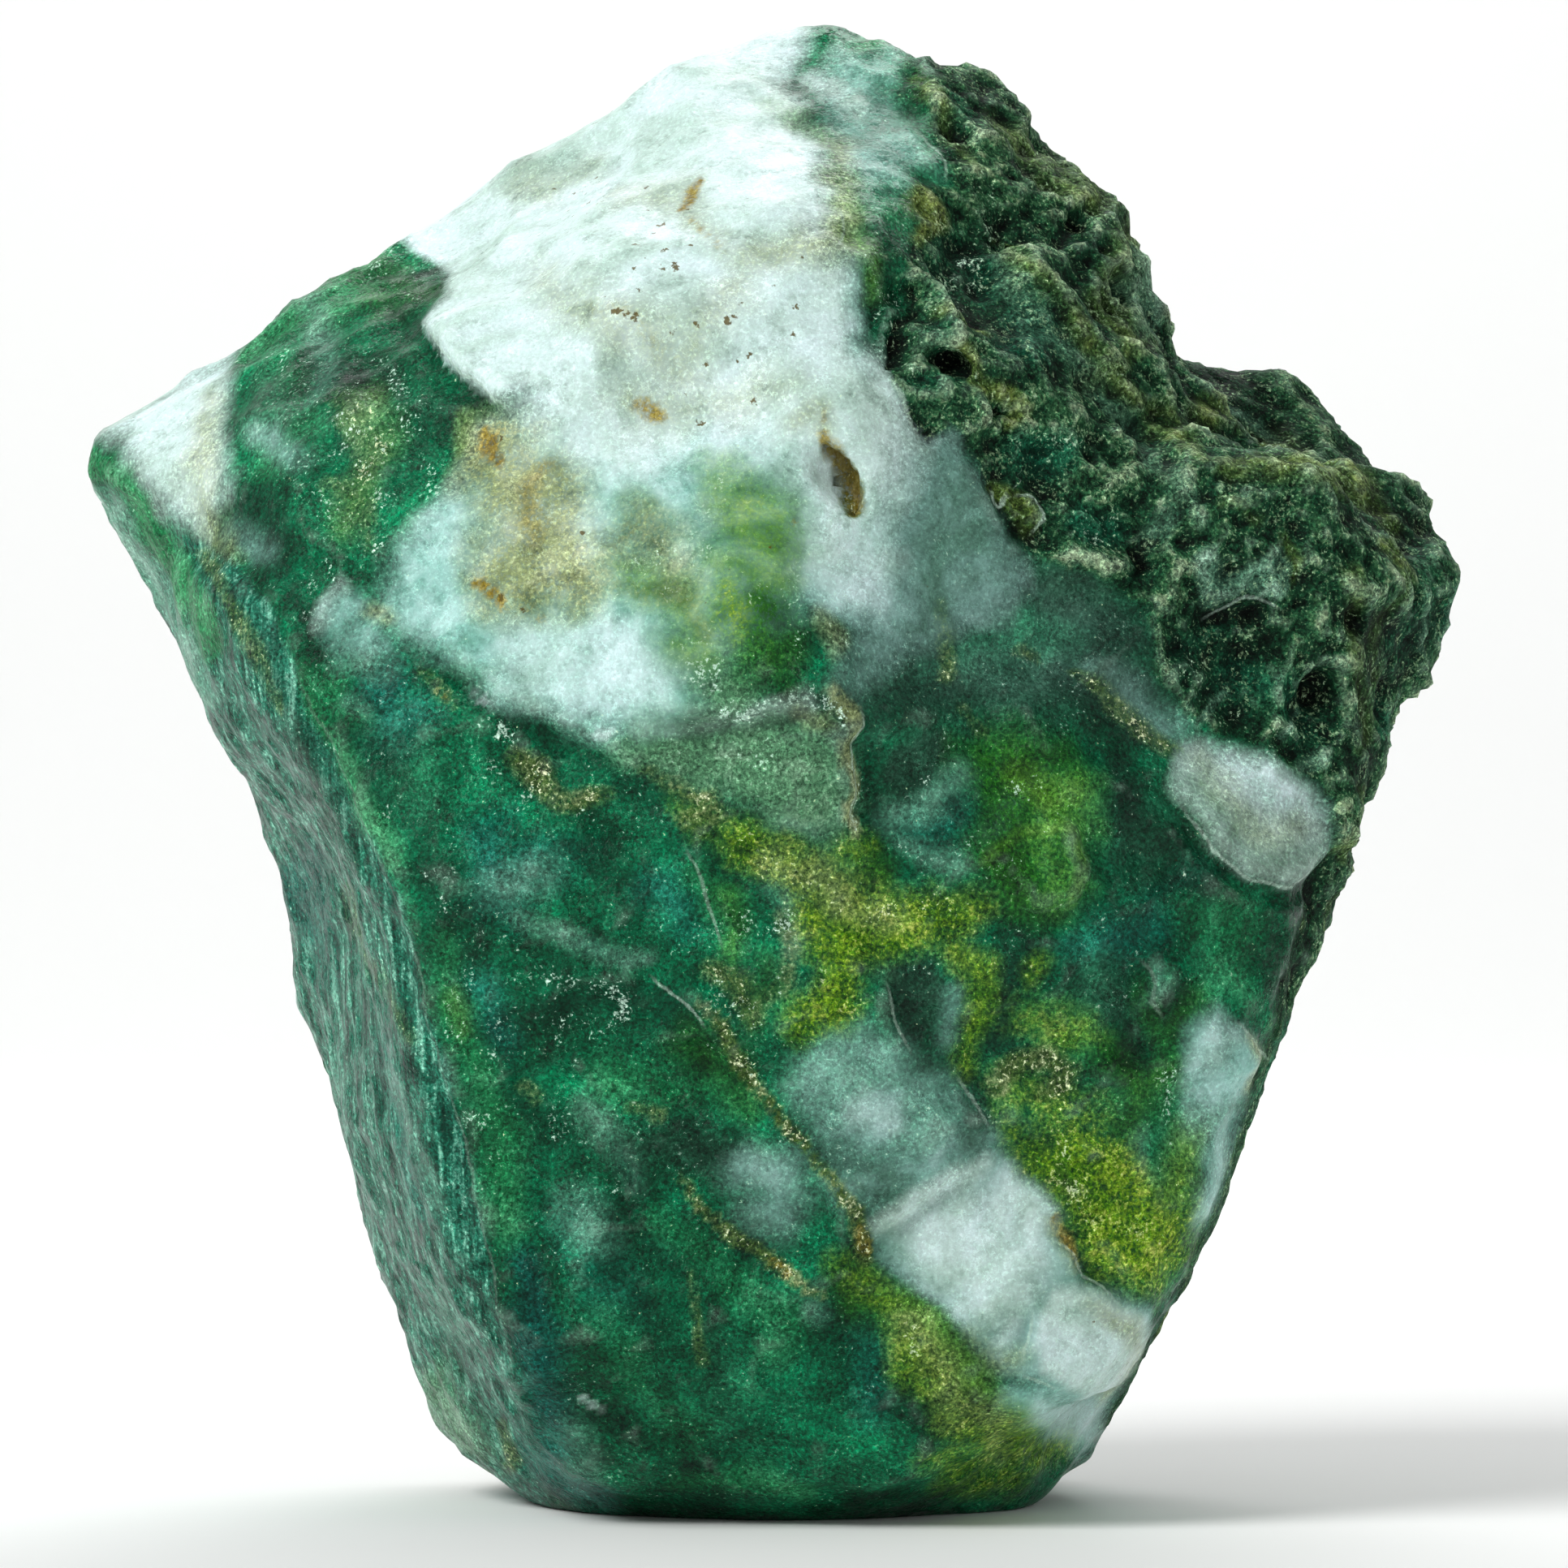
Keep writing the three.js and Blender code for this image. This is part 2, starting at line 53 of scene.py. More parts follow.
# Places on the broken front, in millimetres across and up as seen from the camera. Each has a name, how far
# its edge fades, how far its edge strays, how much of the mineral it holds, and its points. Points of two
# numbers go round a patch. Points of three numbers run along a streak, the third being its half width.
patches = {
    "leftFace": [
        ("left of the ridge", 0.35, 0.4, 1, [
            (-21.2, 31.2), (-20.2, 33), (-19.4, 32.4), (-18.1, 32), (-17, 30.4), (-16.1, 28.5), (-15.2, 26.4),
            (-14, 24), (-13, 22), (-12.3, 20), (-11.8, 18), (-11.3, 16), (-10.6, 14.4), (-10.1, 12),
            (-9.8, 10), (-9.4, 8), (-8.9, 6), (-8.5, 4), (-8.1, 2.5), (-7.5, 0.8), (-7, -3), (-30, -3),
            (-30, 25)]),
    ],
    "teal": [
        ("lower left edge", 0.8, 0.8, 0.85, [
            (-8.2, 8, 0.4), (-7.8, 6, 0.6), (-7.6, 4, 0.7), (-7.2, 1, 0.7), (-5.6, 0.3, 0.5)]),
        ("left cloud", 1.2, 1.2, 0.7, [(-9.4, 22.6, 0.9), (-8.8, 20.8, 1.1), (-7.4, 21.6, 0.9)]),
        ("below the pocket", 1, 1, 0.7, [(-13, 28, 0.8), (-12.7, 26, 0.9), (-11.6, 26.6, 0.6)]),
        ("beside the ridge", 0.9, 0.8, 0.7, [(-9.6, 17.4, 0.7), (-9, 15.6, 0.6)]),
        ("right", 1.1, 1.2, 0.7, [(11.2, 18.8, 1), (12.4, 19.4, 0.8), (14.2, 20.6, 0.6)]),
        ("left face", 0.5, 0.4, 0.6, [(-15.6, 21.7, 0.5), (-15.2, 20.2, 0.5), (-14.9, 17.6, 0.5)]),
        ("left face, lower", 0.4, 0.3, 0.4, [(-13, 15.6, 0.25), (-12.7, 13.6, 0.35), (-11.6, 9.6, 0.4)]),
        ("between the clouds", 0.9, 0.9, 0.6, [(-3.4, 20.9, 0.8), (-2.9, 19.6, 0.4)]),
        ("by the cloud's shadow", 1, 1, 0.4, [(-6.4, 9.4, 0.8), (-5.2, 6.4, 0.8)]),
        ("beside the step", 0.8, 0.9, 0.6, [(5.2, 22.6, 0.6), (6.6, 23, 0.6), (7.4, 24.6, 0.4)]),
        ("foot", 0.9, 0.9, 0.5, [(3.4, 5.4, 0.6), (3.6, 3, 0.6)]),
    ],
    "deep": [
        ("beside the ridge", 0.9, 0.9, 0.8, [(-13.8, 25.8, 0.7), (-13.2, 24.4, 0.8), (-12.8, 23.4, 0.4)]),
        ("left", 0.9, 1, 0.75, [(-11.7, 22.6, 0.7), (-11, 20.6, 0.7), (-10.6, 18.4, 0.5), (-9.6, 19, 0.4)]),
        ("left cloud's rim", 1, 1.1, 0.7, [(-6.2, 21.8, 0.9), (-5, 21, 0.9), (-4.6, 19.8, 0.5)]),
        ("under the white", 0.7, 0.8, 0.62, [
            (-10.6, 28.2, 0.15), (-9.6, 27.2, 0.25), (-8.2, 26.3, 0.35), (-6.8, 25.3, 0.5), (-5.2, 24.5, 0.5),
            (-3.8, 23.2, 0.6), (-2.9, 22.3, 0.4)]),
        ("beside the sugar", 0.9, 1, 0.75, [
            (-8.4, 16.6, 0.6), (-7, 16.8, 0.8), (-5.4, 17.2, 0.7), (-3.4, 16.7, 0.7), (-2.6, 15.6, 0.5)]),
        ("below the left cloud", 0.8, 1, 0.5, [(-8.2, 19, 0.4), (-6.6, 18.2, 0.4)]),
        ("by the branch", 0.8, 0.9, 0.7, [(-4.9, 9.7, 0.6), (-3.8, 8.4, 0.6), (-2.7, 8.2, 0.35)]),
        ("lower middle", 1, 1.1, 0.6, [(-5.2, 7.6, 0.6), (-4, 6.2, 0.8), (-4.4, 5.2, 0.4)]),
        ("middle", 1, 1.1, 0.55, [(-7.4, 12.4, 0.7), (-6, 11.6, 0.6), (-8.6, 14.6, 0.5)]),
        ("tip's right", 0.8, 0.9, 0.75, [(-17, 33.4, 0.7), (-16.6, 31.8, 0.7), (-15.8, 29.8, 0.6)]),
        ("below the flake", 0.7, 0.8, 0.5, [(-12, 35.9, 0.5), (-11.4, 36.9, 0.7), (-10.6, 37.3, 0.3)]),
        ("upper left", 0.8, 0.9, 0.6, [
            (-14.7, 39, 0.5), (-14, 38, 0.3), (-14.9, 35.8, 0.5), (-12.4, 34.6, 0.4)]),
        ("left of the flake", 0.5, 0.6, 0.5, [(-12.6, 40.2, 0.25), (-12, 39.7, 0.3), (-11.2, 38.4, 0.2)]),
        ("foot, right", 0.9, 1, 0.3, [(2.1, 5, 0.8), (2.4, 3.2, 0.9), (1.6, 2, 0.5)]),
        ("foot, left", 1, 1.1, 0.3, [(-3.6, 1.6, 0.6), (-3.8, 0.4, 0.5), (0.4, 3.2, 0.6)]),
        ("right", 0.8, 0.9, 0.85, [(13.2, 16.7, 0.5), (14, 17.2, 0.4), (13.8, 16.2, 0.3)]),
        ("right, by the grass", 1, 1, 0.6, [(11, 20.2, 0.4), (12.2, 21.8, 0.7), (11.6, 24.2, 0.5)]),
        ("in the grass", 0.7, 0.8, 0.7, [(0.8, 28.5, 0.5), (1.5, 29.2, 0.5), (0.6, 27.9, 0.3)]),
        ("beside the step", 0.4, 0.5, 0.7, [(3.5, 25.6, 0.25), (3.6, 24.2, 0.3), (3.7, 22.9, 0.25)]),
        ("teal cloud's rim", 0.8, 0.9, 0.6, [(11.4, 17.4, 0.4), (12.4, 20.2, 0.4), (15, 20.6, 0.4)]),
    ],
    "leek": [
        ("tip's band", 0.35, 0.5, 1, [
            (-22.9, 34.9, 0.5), (-21.8, 34.5, 0.5), (-20.9, 33.3, 0.45), (-20.1, 31.9, 0.5),
            (-19.4, 30.4, 0.45), (-18.8, 28.8, 0.4)]),
        ("shoulder", 0.7, 0.9, 0.7, [
            (-18, 38.8, 0.5), (-16.2, 39.8, 0.6), (-14.8, 40.4, 0.6), (-13.4, 41.4, 0.7), (-12, 42.6, 0.5)]),
        ("ridge", 0.4, 0.5, 0.75, [
            (-15.5, 28, 0.2), (-14.8, 26, 0.25), (-14, 24.4, 0.35), (-13.2, 22.9, 0.45), (-12.5, 21.6, 0.3)]),
        ("ridge, lower", 0.6, 0.7, 0.8, [
            (-11, 18.8, 0.25), (-10.8, 17, 0.45), (-10.2, 15.5, 0.6), (-9.4, 14, 0.5), (-8.8, 12.6, 0.5),
            (-9.1, 11, 0.6), (-8.7, 9, 0.5)]),
        ("middle", 0.9, 1, 0.6, [(-5, 14.4, 0.7), (-3.4, 13.8, 0.7), (-1.8, 14.2, 0.6), (-1, 13.2, 0.4)]),
        ("under the white", 0.5, 0.7, 0.8, [(-9.9, 28.2, 0.4), (-8.9, 27.7, 0.35)]),
        ("right", 0.9, 1, 0.55, [(14, 19.8, 0.7), (15.8, 19.4, 0.7), (15.2, 18.2, 0.6), (16.4, 17.4, 0.3)]),
        ("right, lower", 0.8, 0.9, 0.6, [(13.5, 14.4, 0.6), (13.6, 12.6, 0.6), (13, 11.6, 0.4)]),
        ("below the branch", 0.7, 0.8, 0.5, [
            (-3.6, 9.6, 0.4), (-2.8, 8.9, 0.35), (0.8, 6, 0.7), (0.4, 5, 0.5)]),
        ("left of the moss", 0.5, 0.7, 0.6, [(-2.1, 21.4, 0.4), (-1.7, 19.9, 0.4)]),
        ("upper left", 0.8, 1, 0.5, [(-16.4, 38, 0.5), (-15.6, 36.6, 0.5), (-16.9, 34.9, 0.5)]),
        ("foot's band", 0.3, 0.5, 0.6, [(-3, 0.7, 0.3), (-0.6, 0.9, 0.3), (1.4, 0.2, 0.35)]),
        ("foot", 0.9, 1, 0.4, [(-4.4, 4.4, 0.6), (-5.6, 5.8, 0.5), (-2.6, 2.4, 0.5)]),
        ("pocket", 0.7, 0.8, 0.6, [(-14.6, 27.6, 0.4), (-13.8, 26.2, 0.3)]),
        ("crown", 0.9, 0.9, 1, [
            (3.2, 50, 0.8), (4.4, 48.3, 0.8), (4.9, 46.8, 0.6), (5.2, 45.2, 0.4), (3.8, 43.6, 0.4)]),
    ],
    "mist": [
        ("edge of the left face", 0.3, 0.4, 0.9, [
            (-22.6, 33.6, 0.35), (-21.2, 32, 0.35), (-20.2, 30.2, 0.35), (-19.5, 28.4, 0.35),
            (-18.8, 27, 0.25)]),
        ("left face", 0.3, 0.3, 0.5, [(-15.9, 19, 0.2), (-15, 16.4, 0.25), (-14.3, 14.2, 0.2)]),
        ("left face, lower", 0.3, 0.3, 0.45, [(-13, 14.6, 0.15), (-12.2, 12.6, 0.2), (-11.2, 9.8, 0.2)]),
        ("left face, foot", 0.4, 0.3, 0.45, [(-11.2, 7.2, 0.3), (-10.4, 5.4, 0.3)]),
        ("shoulder", 0.5, 0.7, 0.7, [(-19, 39, 0.4), (-17.2, 40, 0.35), (-15.6, 41, 0.3)]),
        ("shoulder's fold", 0.5, 0.7, 0.5, [(-15.6, 40.2, 0.3), (-15, 38.8, 0.4), (-15.4, 37.4, 0.2)]),
        ("upper left", 0.6, 0.8, 0.35, [(-16.6, 37.7, 0.35), (-16, 36.9, 0.3), (-17.3, 36.2, 0.3)]),
        ("left cloud", 0.8, 0.9, 0.55, [(-8.9, 20.7, 0.6), (-7.7, 21, 0.5)]),
        ("veil", 0.3, 0.5, 0.6, [
            (-8.6, 19.9, 0.15), (-6.4, 18.9, 0.25), (-4.7, 18.4, 0.25), (-3.9, 18.5, 0.15)]),
        ("pocket", 0.5, 0.7, 0.6, [(-14.2, 28.4, 0.3), (-13, 28.2, 0.4)]),
        ("pocket's tail", 0.3, 0.4, 0.6, [(-14, 26.9, 0.2), (-13.6, 26.6, 0.2)]),
        ("low cloud", 0.8, 0.9, 0.5, [(-6.4, 9.8, 0.4), (-5.8, 8.9, 0.5)]),
        ("foot", 0.9, 1, 0.45, [(-6.6, 2.6, 0.6), (-6, 1.6, 0.5)]),
        ("beside the step", 0.6, 0.8, 0.7, [(4.2, 22.9, 0.4), (5.6, 23.6, 0.6), (6.5, 24.2, 0.4)]),
        ("above the moss", 0.4, 0.6, 0.6, [(4.6, 22.1, 0.2), (5.5, 21.8, 0.35), (6.5, 21.6, 0.3)]),
        ("right wisps", 0.25, 0.5, 0.6, [(12.9, 18, 0.15), (13.1, 17.2, 0.15), (12.5, 16.7, 0.15)]),
        ("middle", 0.6, 0.8, 0.45, [(-6, 13.2, 0.4), (-5.3, 12.3, 0.4), (-4.4, 10.7, 0.2)]),
        ("below the vein", 0.4, 0.6, 0.7, [(1.3, 6.5, 0.2), (1.7, 6.1, 0.25)]),
        ("foot, right", 0.6, 0.8, 0.6, [(8.4, 3.3, 0.5), (9.6, 2.9, 0.5), (10.8, 2.3, 0.5)]),
        ("right edge", 0.6, 0.8, 0.6, [(14.9, 12.8, 0.5), (15.1, 11.4, 0.4), (14.6, 10, 0.3)]),
        ("in the grass", 0.4, 0.7, 0.45, [(8.2, 23.5, 0.3), (8.9, 24.4, 0.4), (7.6, 22.4, 0.3)]),
        ("crown", 0.6, 0.8, 0.7, [(2.4, 48.9, 0.5), (3.4, 47.9, 0.5), (5, 48.7, 0.2)]),
        ("moss's cell", 0.5, 0.7, 0.5, [(0.3, 20.8, 0.4), (0.9, 20.3, 0.35), (1.1, 18.8, 0.2)]),
        ("moss, right", 0.5, 0.7, 0.35, [(12.2, 10.2, 0.3), (12.4, 12.4, 0.3)]),
    ],
    "dusk": [
        ("beneath the grey", 1, 1, 1, [
            (3.6, 35.8), (5, 36.2), (7, 35.6), (8.4, 32.6), (9.2, 31), (7, 28.8), (3.4, 27.2), (2.4, 29.6),
            (3.4, 31.6)]),
        ("cell beside the vein", 0.25, 0.4, 1, [
            (4.2, 16.2), (4, 17.2), (4.4, 18.1), (5.4, 18.3), (6, 17.6), (5.9, 16.4), (5.2, 15.3),
            (4.6, 15.5)]),
        ("under the grey", 1.2, 1.2, 0.9, [
            (4, 27.2), (6.4, 27.8), (9, 28.6), (11.4, 29.8), (13.4, 28), (12.8, 26), (10.6, 26), (8.6, 26.2),
            (6.4, 26), (4.6, 25.6)]),
        ("round blot", 0.35, 0.35, 1, [
            (3.9, 24.2), (4.1, 25.3), (5.1, 26), (6.2, 25.9), (6.3, 25), (5.4, 24), (4.6, 23.7)]),
        ("beneath the flake", 1, 1, 0.7, [
            (11.2, 25.8), (12.8, 24.8), (13.8, 23.3), (14.8, 21.7), (16, 20.8), (14.4, 20.4), (12.4, 20.8),
            (11.4, 22.4), (11, 24.2)]),
        ("right, low", 0.9, 1, 0.75, [(10.8, 17.8, 0.6), (11.8, 16.6, 0.8), (12.2, 15, 0.6)]),
        ("cloud's shadow", 0.7, 0.9, 0.85, [(-4.6, 11.8, 0.45), (-3, 11.9, 0.7), (-1.2, 11.5, 0.8)]),
        ("foot", 0.9, 1, 0.35, [(-1.6, 6, 0.5), (-1.2, 4, 0.7), (-1.6, 2.6, 0.5)]),
        ("left face", 0.4, 0.4, 0.5, [
            (-17, 28.8, 0.35), (-15.8, 26, 0.45), (-14.8, 23.4, 0.45), (-14, 21.6, 0.3)]),
        ("blue haze", 0.9, 1, 0.5, [(-12.3, 25.6, 0.5), (-11.8, 24, 0.7)]),
        ("strip's shade", 0.5, 0.6, 0.6, [(8.1, 18.4, 0.35), (8, 16.8, 0.4), (8, 15.6, 0.3)]),
        ("above the vein", 0.6, 0.7, 0.5, [(0.4, 17.8, 0.5), (1, 17.2, 0.4)]),
        ("rind's hem", 0.9, 0.9, 1, [(8.6, 31, 0.8), (10.6, 30.8, 1.2), (12.2, 29.4, 0.9)]),
    ],
    "grass": [
        ("under the cap", 1.1, 1, 0.9, [
            (-1.7, 31.2), (-0.6, 31.4), (0.6, 31.2), (1, 30.2), (0.9, 28.8), (0.6, 27.6), (-0.3, 27.8),
            (-1.1, 28.8), (-1.6, 29.8)]),
        ("higher", 0.9, 0.9, 0.62, [
            (-1.8, 32.2), (-1, 33.4), (0.4, 33.6), (1.2, 32.6), (1.3, 31), (0.8, 29.8), (-1.4, 30.2)]),
        ("right", 0.8, 1, 0.85, [
            (6.4, 25.4), (8, 26.2), (9.6, 25.4), (11, 24.4), (11.2, 22.6), (10.8, 20.8), (9.8, 19.8), (8, 20),
            (7.2, 21.6), (7, 23.2), (6.6, 24.2)]),
        ("lower right", 0.8, 1, 0.75, [
            (9.2, 16.6, 0.4), (10.6, 15.9, 0.6), (12.6, 13.6, 0.9), (13.6, 14.6, 0.6), (11.8, 12.6, 0.5)]),
        ("by the moss", 0.4, 0.6, 0.85, [(3.7, 21.9, 0.2), (4, 21.1, 0.4), (2.7, 21.7, 0.15)]),
        ("left", 0.5, 0.7, 0.7, [(-1.4, 20.6, 0.4), (-1, 19.4, 0.4), (-1.2, 18.4, 0.4)]),
        ("middle", 0.8, 0.9, 0.6, [(-1.5, 15, 0.6), (-0.8, 13.4, 0.4), (-2.6, 15.4, 0.6)]),
        ("below the vein", 0.6, 0.8, 0.75, [(2.4, 7.3, 0.4), (3.2, 6.4, 0.7), (4.4, 6, 0.5), (6, 3.2, 0.4)]),
        ("upper left", 0.7, 0.9, 0.5, [(-12.2, 41.4, 0.4), (-11.5, 40.8, 0.35), (-13.2, 40.6, 0.6)]),
        ("right, middle", 0.6, 0.8, 0.6, [(12.6, 17, 0.3), (13.6, 15.4, 0.4), (14.6, 17.2, 0.4)]),
        ("above the foot", 0.8, 0.9, 0.5, [(-0.4, 16.2, 0.4), (0.2, 18, 0.3), (1.2, 16, 0.3)]),
    ],
    "sage": [
        ("left of the step", 0.8, 0.9, 1, [
            (-5.2, 25.7), (-4, 26.3), (-2.2, 26.3), (0, 26.5), (2.2, 27), (2.6, 25.6), (2.4, 24.4),
            (2.9, 23.2), (2.5, 22.2), (0.6, 22.7), (-0.4, 23.6), (-2.4, 24.2), (-4, 24.8), (-5, 25.1)]),
        ("above it", 0.9, 0.9, 0.95, [(-3.2, 29.2, 0.7), (-2.2, 28.2, 0.9), (-1, 27.2, 0.7)]),
        ("below the cap", 0.8, 0.9, 0.6, [(-4.6, 33.8, 0.4), (-3, 32.8, 0.6), (-1.8, 31.8, 0.5)]),
        ("foot of the white", 0.8, 0.9, 0.7, [(-4.4, 26.2, 0.4), (-2.8, 26.8, 0.6), (-1.4, 26.8, 0.5)]),
        ("right of the white", 1, 0.9, 0.75, [(-4, 30.6, 0.5), (-2.8, 30.4, 0.7), (-2.6, 29.2, 0.6)]),
        ("flake", 0.8, 0.8, 0.45, [
            (14.2, 24.4, 0.4), (15.4, 22.8, 0.8), (16.8, 21.8, 0.8), (18.2, 21.8, 0.4)]),
        ("foot of the left face", 0.6, 0.5, 0.7, [(-11.2, 4.2, 0.6), (-10.6, 2.6, 0.9), (-9.8, 1.6, 0.4)]),
        ("moss's hem", 0.5, 0.6, 0.5, [(2, 22, 0.4), (3.2, 21.4, 0.3), (4.2, 17.6, 0.2)]),
    ],
    "blueGrey": [
        ("right of the slot", 1, 0.9, 0.72, [
            (3.4, 33.4), (3.9, 35), (4.6, 36.4), (5.3, 35.9), (6.6, 35.6), (7.4, 34.2), (8.1, 32.4),
            (8.6, 31.2), (7.4, 29.6), (6.2, 29), (5, 28.6), (4, 27.8), (3, 27.4), (2.9, 29.6), (2.4, 30.6),
            (3.3, 31.8)]),
        ("greyer below", 1.1, 1, 0.1, [
            (3.1, 27.4), (5, 28.8), (7.4, 29.6), (9.4, 30.8), (11.6, 30.2), (12.4, 28.8), (11.2, 27.2),
            (9.4, 27), (7, 27), (4.6, 26.6), (3.2, 26)]),
        ("vein, upper", 0.6, 0.6, 0.42, [
            (0.6, 14), (1, 15), (2.2, 15.9), (3.4, 16.2), (4.5, 15.6), (5.3, 15), (6.2, 14.7), (6.9, 13.7),
            (7.7, 12.2), (8.2, 11.4), (7, 10), (4.6, 9), (3.2, 9.4), (2.4, 10.8), (1.3, 12.4)]),
        ("vein, above the crease", 0.8, 0.7, 0.75, [
            (2.6, 10.6, 0.4), (4.6, 11.2, 0.7), (6.4, 11.8, 0.7), (7.5, 12.2, 0.3)]),
        ("vein, its cell", 0.6, 0.5, 0.85, [
            (2.2, 12.6), (3.2, 14), (4.6, 14.1), (5, 13.2), (4.2, 12.1), (3, 11.7)]),
        ("vein, lower", 0.3, 0.5, 1, [
            (3.4, 9), (4.6, 10), (6.4, 11.1), (7.7, 11.9), (8.6, 11.2), (9.5, 10), (10.3, 8.6), (11.2, 7.4),
            (13, 6.4), (12.9, 4.6), (11.6, 3), (10, 3.4), (8.8, 4.2), (7.9, 4.4), (7, 5.2), (6.1, 6.6),
            (5, 7.5), (3.9, 8.2)]),
        ("violet cloud", 1, 0.8, 0.7, [(-0.8, 11, 0.4), (0.4, 10.7, 0.8), (0.6, 9.8, 0.6), (-0.4, 9.6, 0.4)]),
        ("crown", 0.8, 0.8, 0.6, [(2.8, 47.2, 0.6), (3.4, 45.6, 0.6), (4.4, 45.2, 0.5)]),
        ("upper left", 0.5, 0.6, 0.6, [(-16.8, 35.9, 0.4), (-16.1, 35.3, 0.4)]),
        ("beside the tip", 0.5, 0.6, 0.5, [(-17.7, 32.6, 0.3), (-17, 32.2, 0.3)]),
        ("beside the strip", 0.4, 0.5, 0.5, [(6.3, 17, 0.25), (6.2, 15.6, 0.3)]),
        ("left of the lip", 0.5, 0.6, 0.5, [(0.9, 23, 0.35), (2, 22.9, 0.35)]),
        ("flake's tail", 0.9, 0.8, 0.7, [(11.2, 28.2, 0.15), (12.4, 27.2, 0.35), (13.6, 26.3, 0.4)]),
    ],
    "ice": [
        ("saddle", 0.8, 1.1, 0.95, [
            (-11.5, 33), (-10.4, 34.6), (-9, 36.6), (-6, 37), (-2, 37.4), (2, 37), (4, 34), (3.8, 31.6),
            (2.8, 29.8), (1.4, 30.4), (0.4, 29.6), (-1.2, 28.8), (-2.4, 27.4), (-3.4, 26.2), (-6, 25.8),
            (-8.4, 27.2), (-10.2, 28.2), (-12.6, 29.6), (-13, 31)]),
        ("left of the white", 1, 0.9, 0.95, [
            (-13.3, 30.4), (-12.3, 31.5), (-11.3, 33.2), (-10, 33.6), (-9.2, 32.4), (-9.7, 31.2),
            (-9.3, 29.9), (-8.8, 28.8), (-10.3, 28.7), (-11.4, 29.5), (-12.6, 29.7)]),
        ("turquoise pocket", 0.4, 0.6, 0.6, [
            (-15.2, 29.6), (-14.7, 30.8), (-13.9, 31), (-13.3, 29.9), (-12.9, 28.8), (-13.9, 28.6),
            (-14.8, 28.8)]),
        ("hem of the white", 0.6, 0.8, 0.8, [
            (-9.2, 28), (-8.2, 27), (-6.6, 26.2), (-5.2, 25.6), (-4.2, 26), (-3.2, 26.8), (-5, 26.4),
            (-6.8, 27), (-8.4, 28)]),
        ("crown", 0.7, 0.9, 0.45, [
            (2.2, 49.2), (4.6, 48.6), (5.2, 46.4), (5.7, 44.8), (4.4, 44.2), (3.4, 43.8), (2.8, 45),
            (2.2, 46.6)]),
        ("below the vein's end", 0.5, 0.6, 0.95, [
            (8.2, 3.9), (9.6, 3.7), (11, 3.4), (12.2, 3.6), (12, 2.2), (11.2, 1.4), (10.2, 1.9), (9, 2.4),
            (7.9, 3.2)]),
        ("right edge", 0.6, 0.7, 0.9, [
            (14.1, 14.6), (14.4, 15.9), (15.2, 16.7), (16, 15.9), (16.9, 15), (16.5, 13.6), (15.4, 13.2),
            (14.4, 13.4)]),
        ("right edge, lower", 0.5, 0.6, 0.8, [(15.9, 12.8, 0.5), (15.2, 11, 0.4), (14.4, 9.4, 0.25)]),
        ("cap's right hem", 0.5, 0.6, 0.7, [(2.6, 41.4, 0.4), (3, 39.6, 0.4), (3.4, 38, 0.3)]),
    ],
    "milk": [
        ("cap", 0.25, 0.25, 1, [
            (-11, 43.9), (-9.6, 46.6), (-7, 49), (-4, 51), (-1, 52), (-0.8, 46), (-0.8, 42), (-0.8, 38.4),
            (-5, 38.4), (-8, 37.6), (-9.2, 37.2), (-9.8, 37.6), (-10.9, 38.6), (-11.6, 39.8), (-10.9, 40.6),
            (-10.7, 41.6), (-11.3, 42.8)]),
        ("cap, right", 0.9, 0.8, 1, [
            (-3, 51.5), (0.4, 52), (0.9, 50.2), (1, 48.4), (1.2, 46.8), (1.6, 45.4), (2, 44), (2.2, 42.4),
            (2.7, 41), (3, 39.6), (3.4, 38.4), (3.5, 37.8), (2, 37), (-3, 37), (-4, 42)]),
        ("cap's lower part", 1.4, 0.9, 1, [
            (-8.6, 38.4), (-7.8, 36.4), (-7, 35.2), (-5.4, 34.4), (-4, 34.6), (-2.6, 35.4), (-0.8, 35.6),
            (0.4, 35), (1.2, 33.6), (1.4, 31.6), (2.6, 31), (3.6, 32.6), (4.4, 34.6), (5.2, 36), (4.4, 37.8),
            (2, 40), (-7, 40)]),
        ("under the cap", 0.9, 0.9, 0.55, [
            (-9.4, 29.8), (-8.6, 30.3), (-6.6, 30.3), (-4.8, 30), (-3.8, 29.2), (-3.3, 28.2), (-3.6, 27.2),
            (-5, 26.5), (-6.6, 26.4), (-8, 27), (-9, 28)]),
        ("saddle's left", 1.3, 1, 0.5, [
            (-9.6, 36), (-7.4, 36.4), (-6, 34.6), (-5.8, 32.4), (-6.8, 30.6), (-9.4, 30.4), (-10, 32),
            (-9.6, 34)]),
        ("left tip", 0.9, 0.8, 0.95, [
            (-22.3, 36.4), (-20.4, 38.2), (-18.9, 38.8), (-18.3, 37.8), (-18.4, 35.6), (-18.3, 33.6),
            (-18.8, 32.7), (-19.6, 33), (-20.6, 34.2), (-21.7, 35.2)]),
        ("veil by the slot", 1.1, 0.8, 0.75, [
            (1.4, 31.2), (1.7, 33.2), (2.4, 33.6), (3.6, 33), (4.4, 32), (3.6, 30.6), (2.4, 30.4)]),
        ("flake", 0.5, 0.6, 0.58, [
            (13.6, 24.5), (14.1, 25.7), (15.2, 25.6), (16.6, 25.3), (18.1, 24.3), (18.9, 23.6), (18.8, 21.8),
            (18.6, 21), (17.6, 20.6), (16.2, 21), (15.1, 21.9), (14.6, 22.9), (13.9, 23.6)]),
        ("flake's top", 0.5, 0.6, 0.8, [(15.6, 24.7, 0.3), (16.8, 24.5, 0.4), (18.2, 23.7, 0.4)]),
        ("vein's end", 0.3, 0.4, 0.95, [
